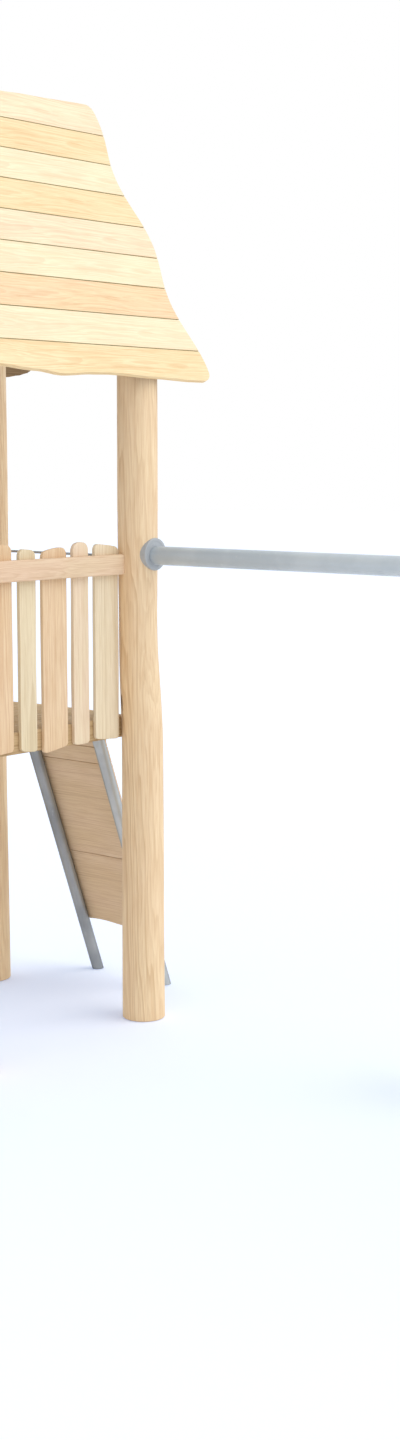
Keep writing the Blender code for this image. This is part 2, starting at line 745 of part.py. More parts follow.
def a_frame():
    """Head plate with its collar, two leaning logs bolted to it and a brace between them."""
    plate_back = -BEAM_SPAN - HEAD_PLATE_THICKNESS
    outline = rounded([
        (-HEAD_PLATE_BOTTOM_HALF, HEAD_PLATE_BOTTOM, HEAD_PLATE_CORNER),
        (HEAD_PLATE_BOTTOM_HALF, HEAD_PLATE_BOTTOM, HEAD_PLATE_CORNER),
        (HEAD_PLATE_TOP_HALF, HEAD_PLATE_TOP, HEAD_PLATE_CORNER),
        (-HEAD_PLATE_TOP_HALF, HEAD_PLATE_TOP, HEAD_PLATE_CORNER),
    ])
    head = slab("head_plate", outline, 0.0, HEAD_PLATE_THICKNESS, facing_front(-BEAM_SPAN), STEEL)
    sunk = HEAD_PLATE_THICKNESS / 2
    length = FAR_COLLAR_DEPTH + sunk
    collar = round_block("joined_far_collar", (0.0, -BEAM_SPAN - sunk + length / 2, BEAM_HEIGHT),
                         SOCKET_RADIUS, length, SOCKET_EDGE / 2, STEEL)
    fuse(head, collar)
    face = plate_back - GAP
    leg_y = face - LEG_TOP_RADIUS + LEG_FLAT_DEPTH
    flat = box(
        "flat_on_legs",
        (-LEG_SPREAD, face, HEAD_PLATE_BOTTOM - FLAT_MARGIN),
        (LEG_SPREAD, face + LEG_FOOT_RADIUS, LEG_TOP + CUTTER_REACH),
        LOG_WOOD,
    )
    scribes = []
    for side, sign in (("right", 1.0), ("left", -1.0)):
        leg, scribe = log(
            f"leg_{side}", (sign * LEG_SPREAD, leg_y, 0.0), (sign * LEG_TOP_SPREAD, leg_y, LEG_TOP),
            LEG_FOOT_RADIUS, LEG_TOP_RADIUS, (0.0, -LEG_BOW, 0.0), LEG_WAIST,
        )
        cut(leg, flat)
        scribes.append(scribe)
    reach = LEG_SPREAD - (LEG_SPREAD - LEG_TOP_SPREAD) * BRACE_HEIGHT / LEG_TOP
    brace = tube("leg_brace", ((-reach, leg_y, BRACE_HEIGHT), (reach, leg_y, BRACE_HEIGHT)),
                 BRACE_RADIUS, Y, LOG_WOOD, SMALL_SIDES)
    cut(brace, *scribes)


def pivot_spacing():
    """Distance of a chain's middle from the middle of the seat, along the beam."""
    return SEAT_LENGTH / 2 + GAP + BRACKET_THICKNESS + PIVOT_SIDE_CLEARANCE + EYE_WIDTH / 2


def hanger(name, y, pivot):
    """A clamp round the beam with two cheeks and the pin that carries the chain."""
    centre = (0.0, y, BEAM_HEIGHT)
    inner = BEAM_RADIUS + GAP
    clamp = ring(name, centre, inner, inner + CLAMP_WALL, CLAMP_WIDTH, STEEL, ROUND_SIDES)
    cheek_offset = EYE_WIDTH / 2 + PIVOT_SIDE_CLEARANCE
    top = BEAM_HEIGHT - inner - CLAMP_WALL / 2
    # The cheek is wide enough to reach into the curved wall of the clamp above it
    outline = rounded([
        (-CHEEK_HALF_WIDTH, pivot - EYE_RADIUS, CHEEK_HALF_WIDTH),
        (CHEEK_HALF_WIDTH, pivot - EYE_RADIUS, CHEEK_HALF_WIDTH),
        (CHEEK_HALF_WIDTH, top, 0.0),
        (-CHEEK_HALF_WIDTH, top, 0.0),
    ])
    cheeks = [
        slab(f"joined_{name}_cheek_{n}", outline, 0.0, CHEEK_THICKNESS, facing_front(back), STEEL)
        for n, back in ((1, y - cheek_offset), (2, y + cheek_offset + CHEEK_THICKNESS))
    ]
    reach = cheek_offset + CHEEK_THICKNESS / 2
    pin = tube(f"joined_{name}_pin", ((0.0, y - reach, pivot), (0.0, y + reach, pivot)),
               PIN_RADIUS, X, STEEL, SMALL_SIDES)
    return fuse(clamp, *cheeks, pin)


def chain(name, y, bottom, top):
    """An eye at each end and a strand whose links turn by a quarter from one to the next."""
    bore = PIN_RADIUS + PIN_CLEARANCE
    bury = (EYE_RADIUS - bore) / 2
    low = bottom + EYE_RADIUS - bury
    high = top - EYE_RADIUS + bury
    links = 2 * round(((high - low) / LINK_PITCH - 1) / 2) + 1
    pitch = (high - low) / links
    rings = []
    for k in range(links):
        width, depth = (LINK_WIDTH, LINK_WIRE) if k % 2 == 0 else (LINK_WIRE, LINK_WIDTH)
        lower = low + k * pitch + (LINK_TURN / 2 if k else 0.0)
        upper = low + (k + 1) * pitch - (LINK_TURN / 2 if k < links - 1 else 0.0)
        for z in (lower, upper):
            rings.append([
                (-width / 2, y - depth / 2, z), (width / 2, y - depth / 2, z),
                (width / 2, y + depth / 2, z), (-width / 2, y + depth / 2, z),
            ])
    strand = loft(name, rings, STEEL)
    eyes = [
        ring(f"joined_{name}_eye_{n}", (0.0, y, z), bore, EYE_RADIUS, EYE_WIDTH, STEEL, SMALL_SIDES)
        for n, z in ((1, bottom), (2, top))
    ]
    return fuse(strand, *eyes)


def seat_bracket(name, y, sign, pin_height):
    """An end plate of the seat, with the pin and its head for the chain's lower eye."""
    low = SEAT_HEIGHT - SEAT_THICKNESS
    outline = rounded([
        (-BRACKET_FOOT_HALF, low, BRACKET_ROUNDING),
        (BRACKET_FOOT_HALF, low, BRACKET_ROUNDING),
        (BRACKET_FOOT_HALF, SEAT_HEIGHT, BRACKET_ROUNDING),
        (EYE_RADIUS, pin_height + EYE_RADIUS, BRACKET_ROUNDING),
        (-EYE_RADIUS, pin_height + EYE_RADIUS, BRACKET_ROUNDING),
        (-BRACKET_FOOT_HALF, SEAT_HEIGHT, BRACKET_ROUNDING),
    ])
    outer = y + sign * BRACKET_THICKNESS
    plate = slab(name, outline, 0.0, BRACKET_THICKNESS, facing_front(max(y, outer)), STEEL)
    reach = EYE_WIDTH + 2 * PIVOT_SIDE_CLEARANCE
    head = outer + sign * reach
    pin = tube(f"joined_{name}_pin",
               ((0.0, y + sign * BRACKET_THICKNESS / 2, pin_height),
                (0.0, head + sign * PIN_HEAD_THICKNESS / 2, pin_height)),
               PIN_RADIUS, X, STEEL, SMALL_SIDES)
    knob = tube(f"joined_{name}_head",
                ((0.0, head, pin_height), (0.0, head + sign * PIN_HEAD_THICKNESS, pin_height)),
                PIN_HEAD_RADIUS, X, STEEL, SMALL_SIDES)
    return fuse(plate, pin, knob)


def swing():
    """Hangers on the beam, and the chains and the seat on their own axes."""
    middle = -SEAT_FROM_POST
    offset = pivot_spacing()
    pivot = BEAM_HEIGHT - BEAM_RADIUS - PIVOT_DROP
    pin_height = SEAT_HEIGHT + SEAT_PIN_RISE
    for name, y in (("near", middle + offset), ("far", middle - offset)):
        hanger(f"hanger_{name}", y, pivot)
    before = set(bpy.context.scene.objects)
    for name, y in (("near", middle + offset), ("far", middle - offset)):
        chain(f"chain_{name}", y, pin_height, pivot)
    chains = set(bpy.context.scene.objects) - before
    half, low = SEAT_DEPTH / 2, SEAT_HEIGHT - SEAT_THICKNESS
    outline = rounded([
        (-half, low, SEAT_ROUNDING), (half, low, SEAT_ROUNDING),
        (half, SEAT_HEIGHT, SEAT_ROUNDING), (-half, SEAT_HEIGHT, SEAT_ROUNDING),
    ])
    slab("swing_seat", outline, 0.0, SEAT_LENGTH, facing_front(middle + SEAT_LENGTH / 2), RUBBER)
    end = SEAT_LENGTH / 2 + GAP
    seat_bracket("seat_bracket_near", middle + end, 1.0, pin_height)
    seat_bracket("seat_bracket_far", middle - end, -1.0, pin_height)
    seat = set(bpy.context.scene.objects) - before - chains
    swing_axis = axis_empty("swing_axis", Vector((0.0, middle, pivot)))
    seat_axis = axis_empty("seat_axis", Vector((0.0, middle, pin_height)))
    seat_axis.parent = swing_axis
    seat_axis.location -= swing_axis.location
    carry(chains, swing_axis, Vector((0.0, middle, pivot)))
    carry(seat, seat_axis, Vector((0.0, middle, pin_height)))


def axis_empty(name, place):
    empty = bpy.data.objects.new(name, None)
    empty.location = place
    bpy.context.scene.collection.objects.link(empty)
    return empty


def carry(pieces, axis, place):
    """Puts the origin of each piece on the axis that it turns about."""
    for piece in pieces:
        piece.data.transform(Matrix.Translation(-place))
        piece.parent = axis


def slide_path():
    """Stations along the bed: x, height and how steeply it falls there."""
    x, z = -BAY_X + DECK_EDGE_INSET - GAP, DECK_TOP - SLIDE_STEP_DOWN
    path = [(x, z, 0.0)]
    x -= SLIDE_ENTRY
    bend = SLIDE_ENTRY_BEND
    for angle in spread(0.0, SLIDE_PITCH, SLIDE_BEND_STEPS):
        path.append((x - bend * math.sin(angle), z - bend * (1 - math.cos(angle)), angle))
    x, z = path[-1][:2]
    bend = SLIDE_EXIT_BEND
    drop = z - SLIDE_EXIT_HEIGHT - bend * (1 - math.cos(SLIDE_PITCH))
    x -= drop / math.tan(SLIDE_PITCH) + bend * math.sin(SLIDE_PITCH)
    z = SLIDE_EXIT_HEIGHT
    for angle in spread(SLIDE_PITCH, 0.0, SLIDE_BEND_STEPS):
        path.append((x + bend * math.sin(angle), z + bend * (1 - math.cos(angle)), angle))
    path.append((x - SLIDE_EXIT, z, 0.0))
    return path


def slide():
    """One bent sheet chute with rolled-out lips and a flange, and a bent tube under its end."""
    w, h, t, lip = SLIDE_HALF_WIDTH, SLIDE_CHEEK_HEIGHT, SLIDE_SHEET, SLIDE_LIP
    section = (
        (-w, 0.0), (w, 0.0), (w, h), (w + lip, h), (w + lip, h - t), (w + t, h - t), (w + t, -t),
        (-w - t, -t), (-w - t, h - t), (-w - lip, h - t), (-w - lip, h), (-w, h),
    )
    middle = BAY_Y / 2
    path = slide_path()
    rings = []
    for x, z, fall in path:
        out, up = -math.sin(fall), math.cos(fall)
        rings.append([(x + out * n, middle + across, z + up * n) for across, n in section])
    chute = loft("slide_chute", rings, SHEET_STEEL)
    start, level = path[0][0], path[0][1]
    flange = box(
        "joined_slide_flange",
        (start - t, middle - w, level - SLIDE_FLANGE_DROP), (start, middle + w, level - t / 2),
        SHEET_STEEL,
    )
    fuse(chute, flange)
    x = path[-1][0] + SLIDE_FOOT_FROM_END
    z = SLIDE_EXIT_HEIGHT - t - GAP - SLIDE_FOOT_RADIUS
    half, bend = SLIDE_FOOT_HALF_WIDTH, SLIDE_FOOT_BEND
    arch = [(x, middle - half, 0.0)]
    for angle in spread(0.0, math.pi / 2, SLIDE_BEND_STEPS):
        arch.append((x, middle - half + bend * (1 - math.cos(angle)), z - bend + bend * math.sin(angle)))
    for angle in spread(math.pi / 2, 0.0, SLIDE_BEND_STEPS):
        arch.append((x, middle + half - bend * (1 - math.cos(angle)), z - bend + bend * math.sin(angle)))
    arch.append((x, middle + half, 0.0))
    tube("slide_foot", arch, SLIDE_FOOT_RADIUS, X, STEEL, SMALL_SIDES)


def stand_on_origin():
    """Moves the whole set so that the origin lies on the ground under its middle."""
    bpy.context.view_layer.update()
    graph = bpy.context.evaluated_depsgraph_get()
    corners = []
    for obj in bpy.context.scene.objects:
        if obj.type == "MESH" and not obj.hide_render:
            solid = obj.evaluated_get(graph)
            corners += [solid.matrix_world @ Vector(corner) for corner in solid.bound_box]
    low = Vector(min(corner[axis] for corner in corners) for axis in range(3))
    high = Vector(max(corner[axis] for corner in corners) for axis in range(3))
    root = bpy.data.objects.new("ground_middle", None)
    for obj in list(bpy.context.scene.objects):
        if obj.parent is None:
            obj.parent = root
    bpy.context.scene.collection.objects.link(root)
    root.location = (-(low.x + high.x) / 2, -(low.y + high.y) / 2, -low.z)
    bpy.context.view_layer.update()
    print("size", [round(side, 4) for side in high - low])
    print("front right post stands at", [round(place, 4) for place in root.location])
    for name in ("swing_axis", "seat_axis"):
        place = bpy.data.objects[name].matrix_world.translation
        print(name, [round(value, 4) for value in place])


for leftover in list(bpy.data.objects):
    bpy.data.objects.remove(leftover)

LOG_WOOD = finish("peeled_log", (0.74, 0.55, 0.36), 0.60)
TIMBER = finish("sawn_timber", (0.76, 0.58, 0.40), 0.62)
ROOF_WOOD = finish("roof_plank", (0.88, 0.75, 0.52), 0.60)
WALL_WOOD = finish("wall_board", (0.70, 0.54, 0.36), 0.62)
STEEL = finish("painted_steel", (0.42, 0.46, 0.50), 0.45, 0.3)
SHEET_STEEL = finish("stainless_sheet", (0.66, 0.67, 0.68), 0.28, 1.0)
RUBBER = finish("black_rubber", (0.025, 0.025, 0.027), 0.75)

tower_posts = posts()
deck(tower_posts)
railings(tower_posts)
grab_bars(tower_posts)
roof(tower_posts)
climbing_wall()
swing_beam(tower_posts)
a_frame()
swing()
slide()
stand_on_origin()
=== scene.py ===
# %% [markdown]
# # A play tower with a swing
# The real thing is built from peeled logs, sawn boards and steel tube. The solids of the packed
# part are the fixed frame. Each step below puts a finished piece over one of them, or over a few,
# and gives it a wood or metal made from nodes.

import math

import bmesh
import bpy
from mathutils import Matrix, Vector, noise


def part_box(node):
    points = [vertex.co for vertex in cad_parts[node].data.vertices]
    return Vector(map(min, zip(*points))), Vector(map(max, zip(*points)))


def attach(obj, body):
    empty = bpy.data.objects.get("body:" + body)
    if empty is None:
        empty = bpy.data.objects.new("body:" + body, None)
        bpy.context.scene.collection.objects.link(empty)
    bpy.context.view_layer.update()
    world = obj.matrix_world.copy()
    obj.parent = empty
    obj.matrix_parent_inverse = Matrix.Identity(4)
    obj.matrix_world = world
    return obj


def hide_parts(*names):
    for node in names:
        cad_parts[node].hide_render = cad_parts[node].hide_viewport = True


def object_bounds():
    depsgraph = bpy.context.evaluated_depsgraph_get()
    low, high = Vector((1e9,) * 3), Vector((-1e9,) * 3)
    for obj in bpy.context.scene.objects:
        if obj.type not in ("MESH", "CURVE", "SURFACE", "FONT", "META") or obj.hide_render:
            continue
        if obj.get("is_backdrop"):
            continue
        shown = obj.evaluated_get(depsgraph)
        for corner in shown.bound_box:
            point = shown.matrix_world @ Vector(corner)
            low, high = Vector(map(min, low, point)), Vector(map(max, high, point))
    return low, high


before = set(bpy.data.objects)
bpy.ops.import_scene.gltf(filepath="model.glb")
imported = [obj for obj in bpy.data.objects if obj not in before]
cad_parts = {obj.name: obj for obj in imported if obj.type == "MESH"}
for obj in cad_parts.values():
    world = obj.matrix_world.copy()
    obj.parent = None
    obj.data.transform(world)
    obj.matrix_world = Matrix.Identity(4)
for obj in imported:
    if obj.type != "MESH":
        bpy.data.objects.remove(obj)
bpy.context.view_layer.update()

# %% [markdown]
# The tower is easiest to build from the foot of its front right post: X along the rail, Y into
# the tower and Z up. The beam's solid lies straight over that line, so its box tells how far this
# origin is from the origin of the frame. Every piece is built at the post and moved once, when it
# is done.

# %% The tower's own origin
BEAM_START = -0.0898
beam_low, beam_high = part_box("swing_beam")
TOWER = Vector(((beam_low.x + beam_high.x) / 2, beam_high.y - BEAM_START, 0.0))
X, Y, Z = Vector((1, 0, 0)), Vector((0, 1, 0)), Vector((0, 0, 1))
print("the post stands at", tuple(TOWER))

# %% [markdown]
# The camera stands about 9 m from the front right post, 2.7 m up, and looks 8 degrees down. The
# photo gives no size, so its lens and its place were fitted until the posts, the railing, the
# roof and the climbing wall fell where the photo has them. That settles the proportions, and the
# scale comes from the swing beam, taken as a steel tube of 88.9 mm. The lens is measured against
# the tall frame's height.

# %% Camera
eye = bpy.data.cameras.new("photo_camera")
eye.sensor_fit = "VERTICAL"
eye.sensor_height = 36.0
eye.lens = 46.63
camera = bpy.data.objects.new("photo_camera", eye)
camera.location = TOWER + Vector((-6.6766, -5.9554, 2.7360))
camera.rotation_euler = (math.radians(90.0 - 7.997), 0.0, math.radians(-50.05))
bpy.context.scene.collection.objects.link(camera)
bpy.context.scene.camera = camera
bpy.context.scene.view_settings.view_transform = "Standard"
print("camera at", tuple(camera.location))

# %% [markdown]
# Nodes are wired many times below, so one helper fills a node: it sets what is given as a plain
# value and links what is given as a socket. Others make a group with named inputs and outputs: an
# effect such as wood grain is built once and then used by each material with its own values.

# %% Helpers for nodes
def fill(tree, node, inputs):
    for key, value in dict(inputs).items():
        if isinstance(value, bpy.types.NodeSocket):
            tree.links.new(value, node.inputs[key])
        else:
            node.inputs[key].default_value = value
    return node


def wire(tree, kind, inputs=(), **settings):
    made = tree.nodes.new("ShaderNode" + kind)
    for key, value in settings.items():
        setattr(made, key, value)
    return fill(tree, made, inputs)


def calc(tree, operation, *values):
    return wire(tree, "Math", enumerate(values), operation=operation).outputs[0]


def scaled(tree, vector, by):
    return wire(tree, "VectorMath", {0: vector, 1: by}, operation="MULTIPLY").outputs[0]


def blended(tree, share, below, above, how="MIX"):
    mixed = wire(tree, "Mix", {0: share, 6: below, 7: above}, data_type="RGBA", blend_type=how)
    return mixed.outputs[2]


def between(tree, value, low, high, to_low=0.0, to_high=1.0):
    inputs = {0: value, 1: low, 2: high, 3: to_low, 4: to_high}
    return wire(tree, "MapRange", inputs, interpolation_type="SMOOTHSTEP").outputs[0]


def clouds(tree, vector, scale, detail=2.0, rough=0.5):
    inputs = {"Vector": vector, "Scale": scale, "Detail": detail, "Roughness": rough}
    return wire(tree, "TexNoise", inputs)


def group(name, inputs, outputs):
    tree = bpy.data.node_groups.new(name, "ShaderNodeTree")
    for socket, value in inputs.items():
        kind = "Vector" if value is None else "Float"
        made = tree.interface.new_socket(socket, in_out="INPUT", socket_type="NodeSocket" + kind)
        if value is not None:
            made.default_value = value
    for socket in outputs:
        tree.interface.new_socket(socket, in_out="OUTPUT", socket_type="NodeSocketFloat")
    return tree, tree.nodes.new("NodeGroupInput").outputs


def put_out(tree, values):
    fill(tree, tree.nodes.new("NodeGroupOutput"), values)
    print("group", tree.name, "gives", ", ".join(values))


def from_group(tree, made, inputs):
    placed = tree.nodes.new("ShaderNodeGroup")
    placed.node_tree = made
    return fill(tree, placed, inputs).outputs


def new_finish(name):
    """A new material, its tree, and the place on the piece that its pattern reads."""
    made = bpy.data.materials.new(name)
    made.use_nodes = True
    return made, made.node_tree, wire(made.node_tree, "TexCoord").outputs["Object"]


def fill_shader(tree, inputs, height, strength, distance):
    """Fills a material's shader. The height raises the surface by up to the distance."""
    lumps = wire(tree, "Bump", {"Height": height, "Strength": strength, "Distance": distance})
    fill(tree, tree.nodes["Principled BSDF"], {**inputs, "Normal": lumps.outputs[0]})


def paint(red, green, blue):
    """A colour as a paint card gives it, 0 to 255, for a socket that wants linear light."""
    linear = [((c / 255 + 0.055) / 1.055) ** 2.4 if c > 10 else c / 3294.6 for c in (red, green, blue)]
    return (*linear, 1.0)

# %% [markdown]
# Wood is the same solid all through. A tree adds a cone-shaped layer each year, pale first and
# darker at the end, so its colour depends on how far a point is from the pith. A pattern in three
# dimensions gives that for nothing: a board's face gets flames, its end gets arcs, and both meet
# at the edge. The group takes a point with the pith along Z. Clouds push the rings out of round,
# and knots sit where branches were, with the rings flowing round them.

# %% Group: wood
wood, given = group(
    "wood",
    {"Point": None, "Ring Width": 0.006, "Wander": 0.02, "Drift Size": 0.3, "Drift Run": 0.2,
     "Cone": 0.012, "Knot Spacing": 0.3, "Knot Size": 0.014},
    ("Late Wood", "Streaks", "Fibres", "Knots", "Clouds", "Height"),
)
point = given["Point"]
drift_scale = calc(wood, "DIVIDE", 1.0, given["Drift Size"])
run = wire(wood, "CombineXYZ", {0: 1.0, 1: 1.0, 2: given["Drift Run"]}).outputs[0]
drift = clouds(wood, scaled(wood, point, run), drift_scale, 3.0)
centred = wire(wood, "VectorMath", {0: drift.outputs["Color"], 1: (0.5, 0.5, 0.5)},
               operation="SUBTRACT")
pushed = wire(wood, "VectorMath", {0: centred.outputs[0], "Scale": given["Wander"]}, operation="SCALE")
moved = wire(wood, "VectorMath", {0: point, 1: pushed.outputs[0]}, operation="ADD").outputs[0]
cell_scale = calc(wood, "DIVIDE", 1.0, given["Knot Spacing"])
cells = wire(wood, "TexVoronoi", {"Vector": scaled(wood, moved, (1.0, 1.0, 0.8)), "Scale": cell_scale})
from_knot = calc(wood, "MULTIPLY", cells.outputs["Distance"], given["Knot Spacing"])
nearness = calc(wood, "DIVIDE", from_knot, given["Knot Size"])
knots = between(wood, nearness, 1.1, 0.4)
swirl = calc(wood, "DIVIDE", 0.018, calc(wood, "ADD", 1.0, calc(wood, "POWER", nearness, 1.6)))
flat = scaled(wood, moved, (1.0, 1.0, 0.0))
radius = wire(wood, "VectorMath", {0: flat}, operation="LENGTH").outputs["Value"]
height = wire(wood, "SeparateXYZ", {0: moved}).outputs["Z"]
radius = calc(wood, "ADD", radius, calc(wood, "MULTIPLY", height, given["Cone"]))
radius = calc(wood, "ADD", radius, swirl)
years = calc(wood, "DIVIDE", radius, given["Ring Width"])
year = calc(wood, "FRACT", years)
which = wire(wood, "TexWhiteNoise", {"W": calc(wood, "FLOOR", years)}, noise_dimensions="1D")
late = calc(wood, "MULTIPLY", between(wood, year, 0.25, 0.85), between(wood, year, 1.0, 0.88))
late = calc(wood, "MULTIPLY", late, between(wood, which.outputs["Value"], 0.0, 1.0, 0.35, 1.0))
streaks = clouds(wood, scaled(wood, moved, (1.0, 1.0, 0.04)), 44.0, 4.0, 0.62).outputs["Fac"]
fibres = clouds(wood, scaled(wood, moved, (1.0, 1.0, 0.022)), 260.0, 3.0, 0.62).outputs["Fac"]
broad = clouds(wood, scaled(wood, point, (1.0, 1.0, 0.3)), 7.0, 3.0).outputs["Fac"]
raised = calc(wood, "ADD", calc(wood, "MULTIPLY", late, 0.5), fibres)
raised = calc(wood, "SUBTRACT", raised, knots)
put_out(wood, {"Late Wood": late, "Streaks": streaks, "Fibres": fibres, "Knots": knots, "Clouds": broad,
               "Height": raised})

# %% [markdown]
# A wood finish is that group with a pith and a direction. The Mapping node holds both: its place
# is a point of the pith, and its turn lays the pattern's Z along the grain. The colours are those
# of the early wood, the late wood and the broad tint that sun and resin leave.

# %% Wood finishes
def grain_turn(direction):
    return Vector(direction).to_track_quat("Z", "Y").to_euler()


def wood_finish(name, early, late, tint, pith, direction, ring=0.007, wander=0.03, drift=0.3, run=0.2,
                cone=0.012, strength=0.6, streak=0.3, knot_spacing=0.33, knot_size=0.012, rough=0.62):
    made, tree, where = new_finish(name)
    mapped = wire(tree, "Mapping", {"Vector": where, "Location": TOWER + Vector(pith),
                                    "Rotation": grain_turn(direction)}, vector_type="TEXTURE")
    found = from_group(tree, wood, {
        "Point": mapped.outputs[0], "Ring Width": ring, "Wander": wander, "Drift Size": drift,
        "Drift Run": run, "Cone": cone, "Knot Spacing": knot_spacing, "Knot Size": knot_size,
    })
    colour = blended(tree, between(tree, found["Clouds"], 0.35, 0.68), early, tint)
    colour = blended(tree, between(tree, found["Streaks"], 0.48, 0.72, 0.0, streak), colour, late)
    pores = between(tree, found["Fibres"], 0.35, 0.75, 0.0, 0.35)
    colour = blended(tree, pores, colour, late, "MULTIPLY")
    colour = blended(tree, calc(tree, "MULTIPLY", found["Late Wood"], strength), colour, late)
    colour = blended(tree, found["Knots"], colour, (*[0.62 * c for c in late[:3]], 1.0))
    dull = between(tree, found["Fibres"], 0.3, 0.7, rough - 0.08, rough + 0.1)
    inputs = {"Base Color": colour, "Roughness": dull, "Specular IOR Level": 0.35}
    fill_shader(tree, inputs, found["Height"], 0.25, 0.0015)
    return made

# %% [markdown]
# Steel here is dipped or painted in a factory, so it is even, with faint clouds and specks in the
# coat and a few rubbed places. The same group serves the blue-grey paint, the galvanised chain
# and the slide's sheet.

# %% Group and finishes: coated steel
coat, given = group("coated steel", {"Point": None, "Speck Size": 0.003},
                    ("Clouds", "Specks", "Rubs", "Lines"))
wide = clouds(coat, given["Point"], 5.0, 3.0, 0.55).outputs["Fac"]
speck_scale = calc(coat, "DIVIDE", 1.0, given["Speck Size"])
specks = wire(coat, "TexVoronoi", {"Vector": given["Point"], "Scale": speck_scale})
tone = wire(coat, "SeparateColor", {0: specks.outputs["Color"]}).outputs[0]
rubs = clouds(coat, scaled(coat, given["Point"], (1.0, 1.0, 0.35)), 46.0, 5.0, 0.7).outputs["Fac"]
lines = clouds(coat, scaled(coat, given["Point"], (1.0, 1.0, 0.004)), 900.0, 2.0, 0.6).outputs["Fac"]
put_out(coat, {"Clouds": wide, "Specks": tone, "Rubs": between(coat, rubs, 0.6, 0.72), "Lines": lines})


def steel_finish(name, colour, second, metallic, rough, speck=0.003, speck_share=0.12, side=0.0):
    """Coated steel. A tube's sides, seen at a slant, are darkened by the share in side: painted shade
    that makes the tube look round.
    """
    made, tree, where = new_finish(name)
    found = from_group(tree, coat, {"Point": where, "Speck Size": speck})
    base = blended(tree, between(tree, found["Clouds"], 0.35, 0.65), colour, second)
    base = blended(tree, calc(tree, "MULTIPLY", found["Specks"], speck_share), base, second)
    base = blended(tree, calc(tree, "MULTIPLY", found["Rubs"], 0.25), base, paint(226, 228, 226))
    # Painted shade: where the surface turns away from the camera, the colour goes towards a dark grey.
    if side:
        facing = wire(tree, "LayerWeight", {"Blend": 0.5}).outputs["Facing"]
        base = blended(tree, between(tree, facing, 0.25, 0.95, 0.0, side), base, paint(84, 88, 92))
    dull = between(tree, found["Clouds"], 0.3, 0.7, rough - 0.05, rough + 0.08)
    inputs = {"Base Color": base, "Metallic": metallic, "Roughness": dull}
    fill_shader(tree, inputs, found["Specks"], 0.05, 0.0004)
    return made


def brushed(name, colour, second, along):
    """Stainless sheet with the fine lines of a belt along one way."""
    made, tree, where = new_finish(name)
    mapped = wire(tree, "Mapping", {"Vector": where, "Rotation": grain_turn(along)},
                  vector_type="TEXTURE")
    found = from_group(tree, coat, {"Point": mapped.outputs[0], "Speck Size": 0.02})
    base = blended(tree, found["Lines"], colour, second)
    dull = between(tree, found["Clouds"], 0.3, 0.7, 0.26, 0.36)
    inputs = {"Base Color": base, "Metallic": 1.0, "Roughness": dull}
    fill_shader(tree, inputs, found["Lines"], 0.15, 0.0003)
    return made


socket_paint = steel_finish("socket_paint", paint(176, 181, 186), paint(163, 169, 175), 0.1, 0.45)
beam_paint = steel_finish("beam_paint", paint(196, 206, 214), paint(184, 195, 204), 0.15, 0.40)
# The wall tubes get painted shade on their sides, by the share given in side.
tube_paint = steel_finish("tube_paint", paint(170, 173, 174), paint(150, 154, 157), 0.4, 0.34, side=0.9)
# Painted light: a lighter copy of the tube paint, for the front tube, as if it caught more light.
lit_tube_paint = steel_finish("lit_tube_paint", paint(205, 209, 208), paint(186, 191, 192), 0.4, 0.34, side=0.7)
zinc = steel_finish("zinc", paint(176, 180, 182), paint(140, 146, 150), 0.85, 0.38, 0.006, 0.5)
stainless = brushed("stainless", paint(206, 208, 209), paint(176, 179, 181), (-0.799, 0.0, -0.602))

# %% [markdown]
# The seat is moulded rubber. It is never quite black: its skin is dull, finely pored, and greyer
# where it has been rubbed.

# %% Rubber
rubber, tree, where = new_finish("rubber")
pores = clouds(tree, where, 900.0).outputs["Fac"]
worn = clouds(tree, where, 14.0, 4.0, 0.65).outputs["Fac"]
skin = blended(tree, between(tree, worn, 0.45, 0.75), paint(38, 39, 41), paint(66, 67, 68))
dull = between(tree, worn, 0.3, 0.8, 0.62, 0.82)
fill_shader(tree, {"Base Color": skin, "Roughness": dull}, pores, 0.3, 0.0006)
print("rubber is ready")

# %% [markdown]
# A studio: a white floor that runs far behind the tower, a sky that is plain white to the camera
# and in reflections, and a large soft sun high on the right. To the wood the sky is only a dim
# even light, so that shaded sides keep their colour. The floor gets a little glow for the camera
# alone: lit floor becomes white, and the shadow stays a pale blue.

# %% Floor, sky and sun
def seen_only(tree):
    """1 for the camera, for reflections and through glass, 0 for light on the object."""
    path = wire(tree, "LightPath").outputs
    seen = calc(tree, "MAXIMUM", path["Is Camera Ray"], path["Is Glossy Ray"])
    return calc(tree, "MAXIMUM", seen, path["Is Transmission Ray"])


SKY_LIGHT = 0.84
world = bpy.data.worlds.new("studio")
bpy.context.scene.world = world
world.use_nodes = True
tree = world.node_tree
share = seen_only(tree)
tint = blended(tree, share, (0.97, 0.985, 1.0, 1.0), (1, 1, 1, 1))
strength = calc(tree, "MULTIPLY_ADD", share, 1.0 - SKY_LIGHT, SKY_LIGHT)
fill(tree, tree.nodes["Background"], {"Color": tint, "Strength": strength})

sun = bpy.data.lights.new("studio_sun", "SUN")
sun.energy = 1.14
sun.angle = math.radians(55.0)
sun.color = (1.0, 0.975, 0.94)
sun_stand = bpy.data.objects.new("studio_sun", sun)
towards_sun = Vector((0.30, -0.62, 0.72))
sun_stand.rotation_euler = towards_sun.to_track_quat("Z", "Y").to_euler()
bpy.context.scene.collection.objects.link(sun_stand)

floor_bm = bmesh.new()
bmesh.ops.create_circle(floor_bm, cap_ends=True, radius=90.0, segments=96)
floor_mesh = bpy.data.meshes.new("studio_floor")
floor_bm.to_mesh(floor_mesh)
floor_bm.free()
floor = bpy.data.objects.new("studio_floor", floor_mesh)
floor_paint = bpy.data.materials.new("studio_floor")
floor_paint.use_nodes = True
tree = floor_paint.node_tree
fill(tree, tree.nodes["Principled BSDF"], {
    "Base Color": (0.91, 0.91, 0.91, 1.0), "Roughness": 0.9, "Specular IOR Level": 0.0,
    "Emission Color": (0.1, 0.4, 1.0, 1.0),
    "Emission Strength": calc(tree, "MULTIPLY", seen_only(tree), 0.28),
})
floor_mesh.materials.append(floor_paint)
floor.location.z = -0.001
bpy.context.scene.collection.objects.link(floor)
floor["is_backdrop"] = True
print("floor 180 m across, sun over", tuple(towards_sun))
